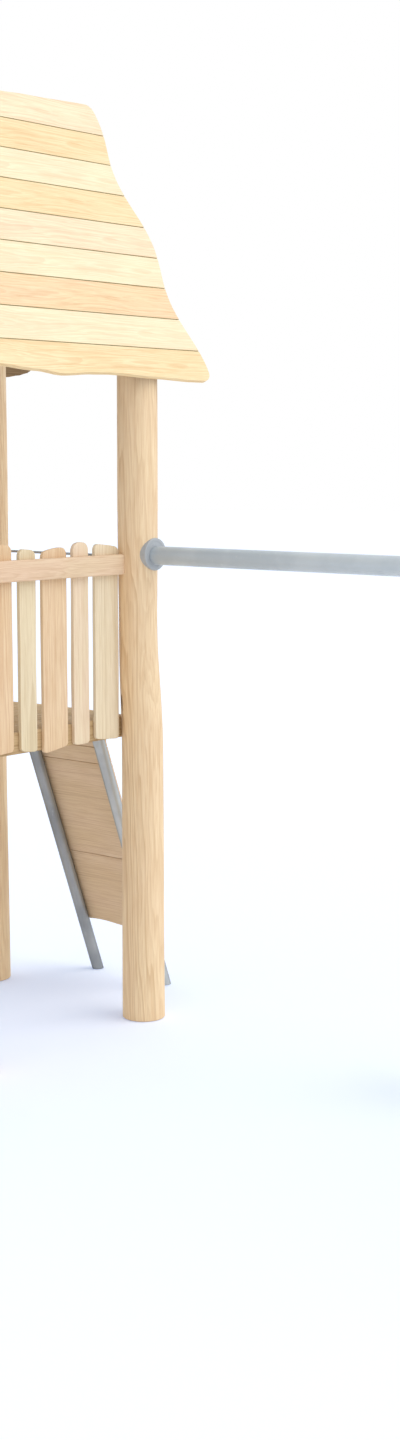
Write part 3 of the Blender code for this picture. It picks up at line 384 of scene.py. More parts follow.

# %% [markdown]
# Every finished piece goes through the same last steps. It moves to the tower's place, its
# normals are worked out again, its faces are shaded smooth up to a crease angle, it is hung on
# the empty of the body it rides on, and the solids it stands for are hidden.

# %% Helpers for pieces
CREASE = math.radians(38.0)


def hand_over(name, bm, material, nodes, body="play_set"):
    bmesh.ops.translate(bm, verts=bm.verts, vec=TOWER)
    bmesh.ops.recalc_face_normals(bm, faces=bm.faces)
    mesh = bpy.data.meshes.new(name)
    bm.to_mesh(mesh)
    bm.free()
    mesh.polygons.foreach_set("use_smooth", [True] * len(mesh.polygons))
    mesh.set_sharp_from_angle(angle=CREASE)
    mesh.materials.append(material)
    piece = bpy.data.objects.new(name, mesh)
    bpy.context.scene.collection.objects.link(piece)
    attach(piece, body)
    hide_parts(*nodes)
    mesh.calc_loop_triangles()
    print(name, len(mesh.loop_triangles), "triangles")
    return piece


def steel(name, bm, finish, nodes, body="play_set"):
    return hand_over(name, bm, finish, nodes, body)


def ease(t):
    t = min(max(t, 0.0), 1.0)
    return t * t * (3 - 2 * t)


def rounded_rims(bm, edges, offset, segments=3):
    bmesh.ops.bevel(bm, geom=list(edges), offset=offset, offset_type="OFFSET", segments=segments,
                    profile=0.5, affect="EDGES", material=-1, clamp_overlap=True)


def sharp_edges(bm, angle):
    return [e for e in bm.edges if len(e.link_faces) == 2
            and e.link_faces[0].normal.angle(e.link_faces[1].normal) > angle]


def placed(bm, matrix):
    bmesh.ops.transform(bm, matrix=matrix, verts=bm.verts)
    return bm


def closed(bm):
    bmesh.ops.holes_fill(bm, edges=[e for e in bm.edges if e.is_boundary], sides=0)
    return bm


def parted(bm, place, away, **what):
    """Cuts a shape by a plane."""
    bmesh.ops.bisect_plane(bm, geom=bm.verts[:] + bm.edges[:] + bm.faces[:], plane_co=place,
                           plane_no=away, **what)


def sliced(bm, place, away):
    """Cuts a closed shape by a plane, drops what lies away from it and closes the cut."""
    parted(bm, place, away, clear_outer=True)
    return closed(bm)


def in_lengths(bm, axis, length, cuts):
    """Cuts the edges that run along an axis, so that they can be bent."""
    long = [e for e in bm.edges if abs(e.verts[0].co[axis] - e.verts[1].co[axis]) > length / 2]
    bmesh.ops.subdivide_edges(bm, edges=long, cuts=cuts, use_grid_fill=True)


def grid(columns, rows, place):
    """A grid whose vertices go where place(s, t) says, with s across and t up, from 0 to 1."""
    bm = bmesh.new()
    bmesh.ops.create_grid(bm, x_segments=columns, y_segments=rows, size=0.5)
    for v in bm.verts:
        v.co = place(v.co.x + 0.5, v.co.y + 0.5)
    return bm


def thickened(bm, thickness):
    bmesh.ops.solidify(bm, geom=bm.faces[:], thickness=thickness)
    return bm


def stood(bm, start, end, origin):
    """Turns a shape that was made along Z to the way from start to end, and moves it."""
    turn = (end - start).to_track_quat("Z", "Y").to_matrix().to_4x4()
    return placed(bm, Matrix.Translation(origin) @ turn)


def local_box(node):
    low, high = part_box(node)
    return low - TOWER, high - TOWER

# %% [markdown]
# The posts are peeled logs. A log tapers, narrows a little at a waist and bows there. It starts
# as a cylinder whose long edges are cut into many short ones; each vertex is then moved to the
# real radius and centre at its height. Soft noise makes the girth uneven, and the rims are
# rounded with a rasp so that no child meets a sharp edge. A post's top has a shoulder for the
# wall plate, and its inner part runs on up beside the plate: the top face is parted and that part
# is drawn up. Known faults: some edges of the four posts have three faces or more, and the faces
# of the front right post point inwards.

# %% Logs
POSTS = {
    "front_right": (0.0, 0.0, (-0.64, 0.77), 1.93),
    "front_left": (-1.13, 0.0, (0.40, 0.60), 1.55),
    "rear_right": (0.0, 1.09, (1.04, -1.25), 1.90),
    "rear_left": (-1.13, 1.09, (0.50, -0.80), 1.70),
}
SHOULDER, PLATE_TOP = 3.142, 3.2273
PLATE_INNER = 0.0428
POST_FOOT_RADIUS, POST_TOP_RADIUS, POST_BOW = 0.1055, 0.0953, 0.019
WAIST_DEPTH, WAIST_REACH, BOW_REACH, LOG_RIM = 0.006, 0.30, 0.60, 0.010


def log(foot, top, foot_radius, top_radius, bow, waist, lumps=0.0022, notch=None):
    """A log that bows at its waist. A notch is the y of its step and the way to its taller part."""
    foot, top, bow = Vector(foot), Vector(top), Vector(bow)
    bm = bmesh.new()
    bmesh.ops.create_cone(bm, cap_ends=True, segments=64, radius1=1.0, radius2=1.0, depth=1.0)
    in_lengths(bm, 2, 1.0, 47)
    for v in bm.verts:
        t = v.co.z + 0.5
        centre = foot.lerp(top, t)
        height = centre.z
        narrow = WAIST_DEPTH * math.exp(-(((height - waist) / WAIST_REACH) ** 2))
        radius = foot_radius + (top_radius - foot_radius) * t - narrow
        round_place = Vector((v.co.x * 0.55, v.co.y * 0.55, height * 1.6)) + 7 * foot
        radius += lumps * (noise.noise(round_place) - 0.2)
        centre = centre + bow * ease((height - waist) / BOW_REACH + 1.0)
        v.co = centre + Vector((v.co.x * radius, v.co.y * radius, 0.0))
    if notch:
        y, inward = notch
        parted(bm, (0, y, 0), Y)
        halves = [f for f in bm.faces if len(f.verts) > 4 and f.calc_center_median().z > 1.0]
        inner = [f for f in halves if (f.calc_center_median().y - y) * inward > 0]
        drawn = bmesh.ops.extrude_face_region(bm, geom=inner)["geom"]
        moved = [v for v in drawn if isinstance(v, bmesh.types.BMVert)]
        bmesh.ops.translate(bm, verts=moved, vec=(0, 0, PLATE_TOP - SHOULDER))
        bmesh.ops.recalc_face_normals(bm, faces=bm.faces)
    caps = {e for f in bm.faces if len(f.verts) > 5 for e in f.edges}
    rounded_rims(bm, [e for e in caps if e.calc_face_angle_signed(0.0) > 0.5], LOG_RIM)
    return bm


def log_finish(name, x, y, along=Z):
    return wood_finish(name, paint(244, 219, 184), paint(208, 172, 130), paint(247, 224, 188),
                       (x, y, 0.0), along, ring=0.0065, wander=0.055, drift=0.11, run=0.07,
                       cone=0.016, strength=0.55, knot_spacing=0.42)


for corner, (x, y, bow, waist) in POSTS.items():
    notch = (PLATE_INNER, 1.0) if y == 0.0 else (y - PLATE_INNER, -1.0)
    bm = log((x, y, 0.0), (x, y, SHOULDER), POST_FOOT_RADIUS, POST_TOP_RADIUS,
             (POST_BOW * bow[0], POST_BOW * bow[1], 0.0), waist, notch=notch)
    finish = log_finish("log_" + corner, x - 0.02, y + 0.03)
    hand_over("log_" + corner, bm, finish, ["post_" + corner])

# %% [markdown]
# Sawn timbers are planed and their edges are rounded. One cube is stretched over the box of the
# timber's solid and all its edges are rounded. Then it is cut into short lengths, so that it can
# be a hair uneven, as wood is.

# %% Sawn timbers
def sawn(low, high, rounding, uneven=0.0008, cuts=23):
    size, middle = high - low, (low + high) / 2
    axis = max(range(3), key=lambda k: size[k])
    bm = bmesh.new()
    bmesh.ops.create_cube(bm, size=1.0)
    placed(bm, Matrix.Translation(middle) @ Matrix.Diagonal((*size, 1.0)))
    rounded_rims(bm, bm.edges, rounding)
    in_lengths(bm, axis, size[axis], cuts)
    for v in bm.verts:
        inward = (middle - v.co).normalized()
        inward[axis] = 0.0
        v.co += inward * uneven * (1.0 + noise.noise(v.co * 4.0))
    return bm


def sawn_piece(name, node, rounding, colours, pith_off, **options):
    low, high = local_box(node)
    size = high - low
    along = (X, Y, Z)[max(range(3), key=lambda k: size[k])]
    finish = wood_finish(name, *colours, (low + high) / 2 + Vector(pith_off), along, **options)
    hand_over(name, sawn(low, high, rounding), finish, [node])


SAWN = (paint(226, 206, 168), paint(192, 160, 112), paint(232, 212, 176))
DECK = (paint(206, 182, 142), paint(168, 134, 90), paint(214, 192, 154))
BEAM = (paint(200, 172, 130), paint(160, 124, 82), paint(206, 180, 140))
RAIL = (paint(231, 208, 178), paint(200, 166, 130), paint(234, 207, 181))
sawn_piece("rail_front", "front_rail", 0.005, RAIL, (0, 0.05, -0.03), ring=0.004, wander=0.03,
           drift=0.12, run=0.3, strength=0.3, streak=0.2)
for name, node, pith_off in (
    ("beam_front", "front_beam", (0, 0.06, 0.02)), ("beam_rear", "rear_beam", (0, -0.06, 0.02)),
    ("joist_right_timber", "joist_right", (-0.05, 0, 0.03)),
    ("joist_left_timber", "joist_left", (0.05, 0, 0.03)),
):
    sawn_piece(name, node, 0.005, BEAM, pith_off)
DECK_BOARDS = [f"deck_board_{k + 1}" for k in range(5)]
for k, node in enumerate(DECK_BOARDS):
    sawn_piece(f"deck_{k + 1}", node, 0.004, DECK, (0, 0.03 * math.sin(2.4 * k), -0.06 - 0.01 * k))

# %% [markdown]
# The roof planks keep the natural edge of the tree: the eave and the ends run in slow waves, as
# the bark left them. A grid is laid flat, its rim is pushed out to the wavy lines, and it is
# thickened downwards. The upper rims are rounded as wood is that was barked with a drawknife. Two
# planks leave a narrow seam that closes towards the inside, so that rain runs off and no light
# comes through.

# %% Planes of the roof
BAY_X, BAY_Y = 1.13, 1.09
PITCH = math.radians(63.4)
PLANK, THICK, PLANK_COUNT = 0.1675, 0.022, 9
EAVE_OUT, EAVE_HEIGHT = 0.1375, 3.097
EAVE_CORNER, REAR_CORNER, RIDGE_CORNER = 0.050, 0.030, 0.035
EAVE_RIM, PLANK_RIM = 0.0085, 0.0035
SEAM, CLOSED_SEAM = 0.0021, 0.0002
RAKE_OUT, RAKE_TAPER, RAKE_WAVE, WAVE_LENGTH = 0.341, 0.083, 0.031, 0.667
RIGHT_CREST, LEFT_CREST = 0.09, 0.30
EAVE_EDGE = ((-0.885, 0.010), (-0.500, 0.045), (-0.245, 0.027), (-0.094, 0.010),
             (0.114, 0.023), (0.221, 0.026), (0.555, 0.015), (0.795, 0.007))
RIDGE_EDGE = ((-0.765, -0.0025), (-0.235, -0.0175), (0.165, -0.0195), (0.361, -0.0105),
              (0.795, 0.0025))


def table(values, x):
    """The height of a natural edge at x, smooth between the measured places."""
    if x <= values[0][0]:
        return values[0][1]
    for (x1, y1), (x2, y2) in zip(values, values[1:]):
        if x <= x2:
            return y1 + (y2 - y1) * ease((x - x1) / (x2 - x1))
    return values[-1][1]


def rake(v, crest):
    """How far the end of the roof lies from its middle at the height v. It waves, with a crest."""
    wave = RAKE_WAVE * math.cos(math.tau * (v - crest) / WAVE_LENGTH)
    return BAY_X / 2 + RAKE_OUT - RAKE_TAPER * v + wave


def slope_place(front=True):
    up = Y * math.cos(PITCH) + Z * math.sin(PITCH)
    out = X.cross(up)
    place = Matrix((X, up, out)).transposed().to_4x4()
    place.translation = Vector((-BAY_X / 2, -EAVE_OUT, EAVE_HEIGHT))
    if front:
        return place
    middle = Matrix.Translation((-BAY_X / 2, BAY_Y / 2, 0.0))
    return middle @ Matrix.Rotation(math.pi, 4, "Z") @ middle.inverted() @ place


def corner_cut(distance, radius):
    """How far a corner of that radius takes the end in, at a distance from the edge."""
    if distance >= radius:
        return 0.0
    return radius - math.sqrt(radius * radius - (radius - distance) ** 2)


def natural_plank(low, high, left, right, low_edge=None, high_edge=None, low_corner=0.0,
                  high_corner=0.0, rim=PLANK_RIM):
    """A plank in the plane of its slope. left(v) and right(v) give its ends at the height v."""
    wide = high - low

    def place(s, t):
        t = 0.5 - 0.5 * math.cos(math.pi * t)
        height = low + wide * t
        cut = corner_cut(wide * t, low_corner) + corner_cut(wide * (1 - t), high_corner)
        start, end = left(height) + cut, right(height) - cut
        x = start + (end - start) * s
        bottom = table(low_edge, x) if low_edge else low + SEAM
        top = high + table(high_edge, x) if high_edge else high - SEAM
        return x, bottom + (top - bottom) * t, 0.0

    bm = thickened(grid(72, 14, place), THICK)
    for v in bm.verts:
        if v.co.z < -THICK / 2:
            t = min(max((v.co.y - low) / wide, 0.0), 1.0)
            closing = (0.0 if high_edge else t ** 4) - (0.0 if low_edge else (1 - t) ** 4)
            v.co.y += (SEAM - CLOSED_SEAM) * closing
    rims = [e for e in bm.edges if all(abs(v.co.z) < 1e-5 for v in e.verts)
            and any(abs(f.normal.z) < 0.5 for f in e.link_faces)]
    rounded_rims(bm, rims, rim)
    return bm

# %% Front planks
CREAM = (paint(251, 240, 207), paint(237, 208, 172), paint(250, 232, 200))
TAN = (paint(248, 227, 183), paint(226, 188, 138), paint(250, 231, 190))
HONEY = (paint(248, 223, 182), paint(222, 180, 136), paint(248, 221, 184))
PINK = (paint(251, 238, 206), paint(234, 196, 164), paint(249, 228, 197))
TONES = (TAN, CREAM, HONEY, CREAM, PINK, TAN, CREAM, TAN, PINK)
# Painted shade: the dark brown of the planks' inner faces stands for the deep shade under the roof.
SHADED_INSIDE = (paint(150, 124, 90), paint(112, 88, 60), paint(158, 132, 100))
# Painted shade: the plank sides in the seams are darker, for the shade between two planks.
SEAM_SHADE = (paint(214, 200, 160), paint(176, 162, 122), paint(204, 192, 154))
ROOF_GRAIN = dict(ring=0.008, wander=0.07, drift=0.18, cone=0.01, strength=0.45, streak=0.55,
                  knot_spacing=0.9, knot_size=0.009)
INSIDE_GRAIN = dict(ring=0.008, wander=0.05, rough=0.75)
linings = {}


def roof_piece(side, names, k, bm, place, shift, stagger, tone, node, seams):
    """Lays a plank into its slope. Its rough inner face and its sides in the seams get darker finishes:
    painted shade.
    """
    placed(bm, place)
    pith_up = (k + 0.5) * PLANK + 0.03 * math.sin(stagger * k)
    pith = place @ Vector((shift, pith_up, -0.05 - 0.02 * (k % 3)))
    finish = wood_finish(f"{names[0]}_{k + 1}", *tone, pith, X, **ROOF_GRAIN)
    piece = hand_over(f"{names[1]}_{k + 1}", bm, finish, [node])
    if side not in linings:
        linings[side] = (wood_finish("roof_painted_shade_inside_" + side, *SHADED_INSIDE, pith, X, **INSIDE_GRAIN),
                         wood_finish("roof_painted_shade_seam_" + side, *SEAM_SHADE, pith, X, **INSIDE_GRAIN))
    for lining in linings[side]:
        piece.data.materials.append(lining)
    up, out = place.to_3x3() @ Y, place.to_3x3() @ Z
    # Inner faces take the painted shade of index 1, the sides in the seams the painted seam shade of
    # index 2.
    for face in piece.data.polygons:
        if face.normal.dot(out) < -0.7:
            face.material_index = 1
        elif any(sign * face.normal.dot(up) > 0.85 for sign in seams):
            face.material_index = 2


for k in range(PLANK_COUNT):
    first, last = k == 0, k == PLANK_COUNT - 1
    bm = natural_plank(k * PLANK, (k + 1) * PLANK, lambda v: -rake(v, LEFT_CREST),
                       lambda v: rake(v, RIGHT_CREST), EAVE_EDGE if first else None,
                       RIDGE_EDGE if last else None, EAVE_CORNER if first else 0.0,
                       RIDGE_CORNER if last else 0.0, EAVE_RIM if first else PLANK_RIM)
    roof_piece("front", ("roof_wood", "plank"), k, bm, slope_place(), 0.0, 3.1, TONES[k],
               f"roof_plank_{k + 1}", (1.0,) if first else (-1.0,) if last else (1.0, -1.0))

# %% [markdown]
# The pales of the railing are boards from the outside of the log. Their sides are never quite
# straight and their tops are cut to a low hump. A grid gives each of them its own wavy sides; it
# is thickened, and all rims of the front and the back are rounded by a belt sander.

# %% Railing pales
DECK_TOP, RAIL_TOP = 1.5, 2.284
PALE_THICK, PALE_RIM, PALE_WAVE = 0.018, 0.005, 0.003
PALE_CORNER, PALE_TOP_DROP, PALE_FOOT_RISE = 0.024, 0.022, 0.016
PALES = (
    (-1.000, -0.814, 0.066, 0.061, 0.008, 0.093, 0.084),
    (-0.769, -0.665, 0.037, 0.035, 0.009, 0.088, 0.101),
    (-0.621, -0.463, 0.026, 0.036, 0.012, 0.117, 0.096),
    (-0.420, -0.316, 0.048, 0.052, 0.015, 0.100, 0.100),
    (-0.272, -0.109, 0.047, 0.034, 0.007, 0.089, 0.103),
)


def shoulder(s, turn):
    """How far a rounded corner falls below the top at the place s across, turn wide."""
    side = min(s, 1.0 - s)
    if side >= turn:
        return 0.0
    return 1.0 - math.sqrt(max(0.0, 1.0 - (1.0 - side / turn) ** 2))


def pale(left, right, above_left, above_right, rise, below_left, below_right, front_y, seed, crest=0.5):
    width = right - left
    turn = min(PALE_CORNER / width, 0.45)

    def place(s, t):
        s = 0.5 - 0.5 * math.cos(math.pi * s) if 0 < s < 1 else s
        far = (s - crest) / (crest if s < crest else 1.0 - crest)
        hump = rise * (1.0 - far * far) - PALE_TOP_DROP * shoulder(s, turn)
        top = RAIL_TOP + above_left + (above_right - above_left) * s + hump
        foot = DECK_TOP - below_left - (below_right - below_left) * s
        foot += PALE_FOOT_RISE * shoulder(s, turn)
        z = foot + (top - foot) * t
        wave = PALE_WAVE * (noise.noise(Vector((seed, round(s) * 9.0, z * 2.6))) - 0.1)
        return left + width * s + (wave if s > 0.5 else -wave) * abs(2 * s - 1), 0.0, z

    bm = grid(16, 44, place)
    bmesh.ops.recalc_face_normals(bm, faces=bm.faces)
    if bm.faces[:][0].normal.y > 0:
        bmesh.ops.reverse_faces(bm, faces=bm.faces)
    thickened(bm, PALE_THICK)
    nearest = min(v.co.y for v in bm.verts)
    bmesh.ops.translate(bm, verts=bm.verts, vec=(0, front_y - nearest, 0))
    rounded_rims(bm, sharp_edges(bm, 1.2), PALE_RIM)
    return bm


PALE_WOODS = (
    (paint(232, 206, 170), paint(202, 160, 120), paint(238, 214, 182)),
    (paint(233, 219, 188), paint(204, 184, 148), paint(236, 222, 194)),
    (paint(238, 222, 193), paint(210, 182, 148), paint(240, 220, 197)),
    (paint(240, 226, 198), paint(210, 190, 156), paint(241, 227, 202)),
)
CRESTS = (0.5, 0.3, 0.72, 0.5, 0.2)
PALE_TONES = (0, 1, 0, 2, 3)
PALE_FACE = 0.0533
for k, shape in enumerate(PALES):
    pith = ((shape[0] + shape[1]) / 2 + 0.02, 0.13 + 0.02 * k, 0.0)
    finish = wood_finish(f"pale_wood_{k + 1}", *PALE_WOODS[PALE_TONES[k]], pith, Z, ring=0.006,
                         strength=0.5)
    hand_over(f"pale_{k + 1}", pale(*shape, PALE_FACE, 3.7 * k, CRESTS[k]), finish,
              [f"front_pale_{k + 1}"])

# %% [markdown]
# The railing at the back is the same, seen from the inside of the tower: a rail outside and five
# pales behind it. The solid is one piece, so the finished rail and pales together stand for it.

# %% Rear railing
RAIL_HEIGHT, RAIL_OUT, RAIL_IN = 0.096, 0.015, 0.053
rail_low = Vector((-BAY_X, BAY_Y - RAIL_IN, RAIL_TOP - RAIL_HEIGHT))
rail_high = Vector((0.0, BAY_Y - RAIL_OUT, RAIL_TOP))
finish = wood_finish("rail_rear", *SAWN, (-0.5, BAY_Y + 0.02, RAIL_TOP - 0.08), X, ring=0.005,
                     wander=0.02)
hand_over("rail_rear", sawn(rail_low, rail_high, 0.005), finish, ["rear_railing"])
for k, shape in enumerate(PALES):
    pith = ((shape[0] + shape[1]) / 2 - 0.02, BAY_Y - 0.15, 0.0)
    finish = wood_finish(f"rear_pale_wood_{k + 1}", *PALE_WOODS[k % 2], pith, Z, ring=0.006)
    bm = pale(*shape, BAY_Y - RAIL_IN - PALE_THICK, 11.0 + 3.7 * k)
    hand_over(f"rear_pale_{k + 1}", bm, finish, ["rear_railing"])

# %% [markdown]
# The climbing wall leans against the deck. Four boards are screwed to two steel tubes, the upper
# two over one solid, and half-round rungs are screwed to the outside. All of it lies in one
# leaning plane, so each board is made flat and then laid into that plane: across the wall, up the
# slope, and out from it. A known fault: each rung has 12 open edges.

# %% Climbing wall boards and rungs
GAP = 0.0003
CLIMB_PITCH, CLIMB_FOOT = math.atan(2.71), 0.4996
TUBE_RADIUS = 0.03015
WALL_THICK = 0.030
WALL_LEFT, WALL_RIGHT = 0.305, 0.785
WALL_SEAMS = (0.297, 0.7255, 1.282, 1.376, 1.577)
HALF_SEAM = 0.0015
RUNG_PLACES = (0.400, 0.720, 1.040, 1.400)
RUNG_RADIUS, RUNG_SHORTER, RUNG_TOP = 0.022, 0.04, 0.0205
climb_up = Z * math.sin(CLIMB_PITCH) - X * math.cos(CLIMB_PITCH)
climb_place = Matrix((Y, climb_up, Y.cross(climb_up))).transposed().to_4x4()
climb_place.translation = Vector((CLIMB_FOOT, 0.0, 0.0))
WALL_WOOD = (paint(232, 208, 176), paint(198, 166, 130), paint(236, 212, 184))
for k, (name, node) in enumerate((("lower", "lower"), ("middle", "middle"), ("upper", "upper"),
                                  ("top", "upper"))):
    low = WALL_SEAMS[k] + (HALF_SEAM if k else 0.0)
    high = WALL_SEAMS[k + 1] - HALF_SEAM

    def place(s, t):
        bottom = low
        if k == 0:
            bottom += 0.010 * (0.5 + 0.5 * math.sin(9.5 * s + 0.6)) + 0.028 * shoulder(s, 0.05)
        return WALL_LEFT + (WALL_RIGHT - WALL_LEFT) * s, bottom + (high - bottom) * t, 0.0

    bm = thickened(grid(40, 10, place), WALL_THICK)
    lowest = min(v.co.z for v in bm.verts)
    bmesh.ops.translate(bm, verts=bm.verts, vec=(0, 0, TUBE_RADIUS + GAP - lowest))
    rounded_rims(bm, sharp_edges(bm, 1.2), 0.003)
    pith = climb_place @ Vector((0.0, (low + high) / 2, -0.06))
    finish = wood_finish(f"wall_wood_{name}", *WALL_WOOD, pith, Y, ring=0.009, wander=0.05,
                         strength=0.35)
    hand_over(f"wall_{name}", placed(bm, climb_place), finish, [f"climb_board_{node}"])

face = TUBE_RADIUS + 2 * GAP + WALL_THICK
for k, v_place in enumerate(RUNG_PLACES):
    bm = bmesh.new()
    bmesh.ops.create_cone(bm, cap_ends=True, segments=40, radius1=RUNG_RADIUS, radius2=RUNG_RADIUS,
                          depth=WALL_RIGHT - WALL_LEFT - RUNG_SHORTER)
    parted(bm, (0, 0, 0), Y, clear_inner=True)
    closed(bm)
    rounded_rims(bm, {e for f in bm.faces if len(f.verts) > 4 for e in f.edges}, 0.003)
    turn = Matrix(((0, 0, 1), (1, 0, 0), (0, 1, 0))).to_4x4()
    middle = Matrix.Translation(((WALL_LEFT + WALL_RIGHT) / 2, v_place, face))
    pith = climb_place @ Vector((0.0, v_place + 0.01, face - 0.02))
    finish = wood_finish(f"rung_wood_{k + 1}", *SAWN, pith, Y, ring=0.004, wander=0.01)
    hand_over(f"rung_{k + 1}", placed(bm, climb_place @ middle @ turn), finish,
              [f"climb_rung_{k + 1}"])

# %% [markdown]
# Steel tube is drawn round and cut to length. A cylinder is laid from one end of the tube to the
# other and the rims of its ends are broken. The wall's two tubes are cut level at the ground and
# end in a plate that is bolted to the joist.

# %% Tubes
def tube(start, end, radius, segments=48, rim=0.0015, cuts=0):
    """A round bar with closed ends."""
    start, end = Vector(start), Vector(end)
    half = (end - start).length / 2
    bm = bmesh.new()
    bmesh.ops.create_cone(bm, cap_ends=True, segments=segments, radius1=radius, radius2=radius,
                          depth=2 * half)
    if cuts:
        in_lengths(bm, 2, 2 * half, cuts)
    if rim:
        ends = [e for e in bm.edges if all(abs(abs(v.co.z) - half) < 1e-6 for v in e.verts)]
        rounded_rims(bm, ends, rim, 2)
    return stood(bm, start, end, (start + end) / 2)


def add_to(bm, other):
    """Puts a second shape into the same piece."""
    spare = bpy.data.meshes.new("spare")
    other.to_mesh(spare)
    other.free()
    bm.from_mesh(spare)
    bpy.data.meshes.remove(spare)


JOIST_FACE = -0.0177
FLANGE_HALF, FLANGE_THICK, FLANGE_LOW, FLANGE_HIGH = 0.055, 0.006, 1.400, 1.465
TUBE_TOP, TUBE_FROM, TUBE_TO = 1.44, -0.05, 1.60
climb_out = climb_place.to_3x3() @ Z
# The front tube's lighter paint is painted light; both tubes have the same paint.
for side, y, finish in (("front", 0.294, lit_tube_paint), ("rear", 0.776, tube_paint)):
    ends = [climb_place @ Vector((y, along, 0.0)) for along in (TUBE_FROM, TUBE_TO)]
    bm = tube(*ends, TUBE_RADIUS, rim=0.0)
    for place, away in (((0, 0, 0), -Z), ((0, 0, TUBE_TOP), Z), ((JOIST_FACE, 0, 0), -X)):
        sliced(bm, place, away)
    rounded_rims(bm, {e for f in bm.faces if len(f.verts) > 8 for e in f.edges}, 0.0012, 2)
    add_to(bm, sawn(Vector((JOIST_FACE, y - FLANGE_HALF, FLANGE_LOW)),
                    Vector((JOIST_FACE + FLANGE_THICK, y + FLANGE_HALF, FLANGE_HIGH)), 0.0015, 0.0, 1))
    steel(f"wall_tube_{side}", bm, finish, [f"climb_tube_{side}"])

# %% [markdown]
# The swing beam is a long steel tube. On the post it sits in a thick round socket with a rounded
# rim and a raised ring, and at the far end in a collar welded to the head plate.

# %% Swing beam, socket and grab bars
BEAM_HEIGHT, BEAM_RADIUS, BEAM_END = 2.277, 0.04445, -3.6747
bm = tube((0, BEAM_START, BEAM_HEIGHT), (0, BEAM_END, BEAM_HEIGHT), BEAM_RADIUS, 64, cuts=31)
steel("beam_tube", bm, beam_paint, ["swing_beam"])


def spun(bm, geom, axis, steps):
    bmesh.ops.spin(bm, geom=geom, cent=(0, 0, 0), axis=axis, angle=math.tau, steps=steps,
                   use_merge=True, use_duplicate=False)


def turned(profile, start, end, steps=64):
    """A round part from its half profile, as (distance along the axis, radius), on a lathe."""
    bm = bmesh.new()
    points = [bm.verts.new((radius, 0.0, along)) for along, radius in profile]
    lines = [bm.edges.new(pair) for pair in zip(points, points[1:])]
    spun(bm, points + lines, Z, steps)
    bmesh.ops.remove_doubles(bm, verts=bm.verts, dist=1e-6)
    start, end = Vector(start), Vector(end)
    return stood(closed(bm), start, end, start)


SOCKET = ((0.0, 0.0770), (0.0455, 0.0770), (0.0480, 0.0762), (0.0492, 0.0745), (0.0495, 0.0725),
          (0.0495, 0.0610), (0.0485, 0.0600), (0.0485, 0.0560), (0.0495, 0.0550))
SOCKET_RISE, SOCKET_BACK, SOCKET_FRONT = 0.006, -0.040, -0.0895
socket_height = BEAM_HEIGHT + SOCKET_RISE
steel("socket", turned(SOCKET, (0, SOCKET_BACK, socket_height), (0, SOCKET_FRONT, socket_height)),
      socket_paint, ["beam_socket"])

BAR_HEIGHT, BAR_RADIUS, BAR_INSET = 2.267, 0.006, 0.09
for side, x in (("right", 0.0), ("left", -BAY_X)):
    bm = tube((x, BAR_INSET, BAR_HEIGHT), (x, BAY_Y - BAR_INSET, BAR_HEIGHT), BAR_RADIUS, 24, rim=0.0)
    steel(f"bar_{side}", bm, tube_paint, [f"grab_bar_{side}"])

# %% [markdown]
# The rear slope is built like the front one, but its solid is a single panel that is grooved
# where the planks meet. Here it gets its own nine planks. The last one ends a finger's breadth
# below the ridge, where the front planks run over it.

# %% Rear planks
rear_slope = slope_place(front=False)
wedge = THICK * (1.0 - math.cos(2 * PITCH)) + 0.005
REAR_TAPER = ((0.0, 0.215), (0.035, 0.500), (0.060, 0.715), (0.074, 0.823), (0.086, 0.905),
              (0.100, 0.959), (0.113, 0.985), (0.135, 0.995))
REAR_EAVE = (*[(-reach, v) for v, reach in reversed(REAR_TAPER)],
             (0.10, 0.004), (0.45, 0.016), (0.80, 0.004))
REAR_FLARE, REAR_FLARE_HEIGHT = 0.070, 0.900


def rear_end(v):
    """The rear slope flares out over the climbing wall."""
    return rake(v, RIGHT_CREST) + REAR_FLARE * max(0.0, 1.0 - v / REAR_FLARE_HEIGHT)


REAR_LENGTH = (BAY_Y / 2 + EAVE_OUT) / math.cos(PITCH) - wedge / math.sin(2 * PITCH)
for k in range(PLANK_COUNT):
    first, last = k == 0, k == PLANK_COUNT - 1
    bm = natural_plank(k * PLANK, REAR_LENGTH if last else (k + 1) * PLANK, lambda v: -rear_end(v),
                       lambda v: rake(v, LEFT_CREST), REAR_EAVE if first else None,
                       low_corner=REAR_CORNER if first else 0.0,
                       high_corner=RIDGE_CORNER if last else 0.0)
    roof_piece("rear", ("rear_wood", "rear_plank"), k, bm, rear_slope, 0.1, 2.3,
               TONES[PLANK_COUNT - 1 - k], "rear_roof_slope", (1.0,) if first else (1.0, -1.0))
print("the rear slope is", round(REAR_LENGTH, 3), "m long")

# %% [markdown]
# A wall plate along the posts' shoulders and a truss at each end carry the roof. Their solids
# already have the right outline, so each is copied, its loose triangles are merged, and its edges
# are rounded. A truss is cut in its middle, because the grain of each rafter runs its own way.

# %% Copies of a solid with rounded edges
def copy_of(node, rounding=0.004):
    bm = bmesh.new()
    bm.from_mesh(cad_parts[node].data)
    bmesh.ops.remove_doubles(bm, verts=bm.verts, dist=1e-5)
    bmesh.ops.dissolve_limit(bm, angle_limit=math.radians(2.0), verts=bm.verts, edges=bm.edges)
    bmesh.ops.translate(bm, verts=bm.verts, vec=-TOWER)
    bmesh.ops.recalc_face_normals(bm, faces=bm.faces)
    rounded_rims(bm, sharp_edges(bm, 0.9), rounding, 2)
    return bm


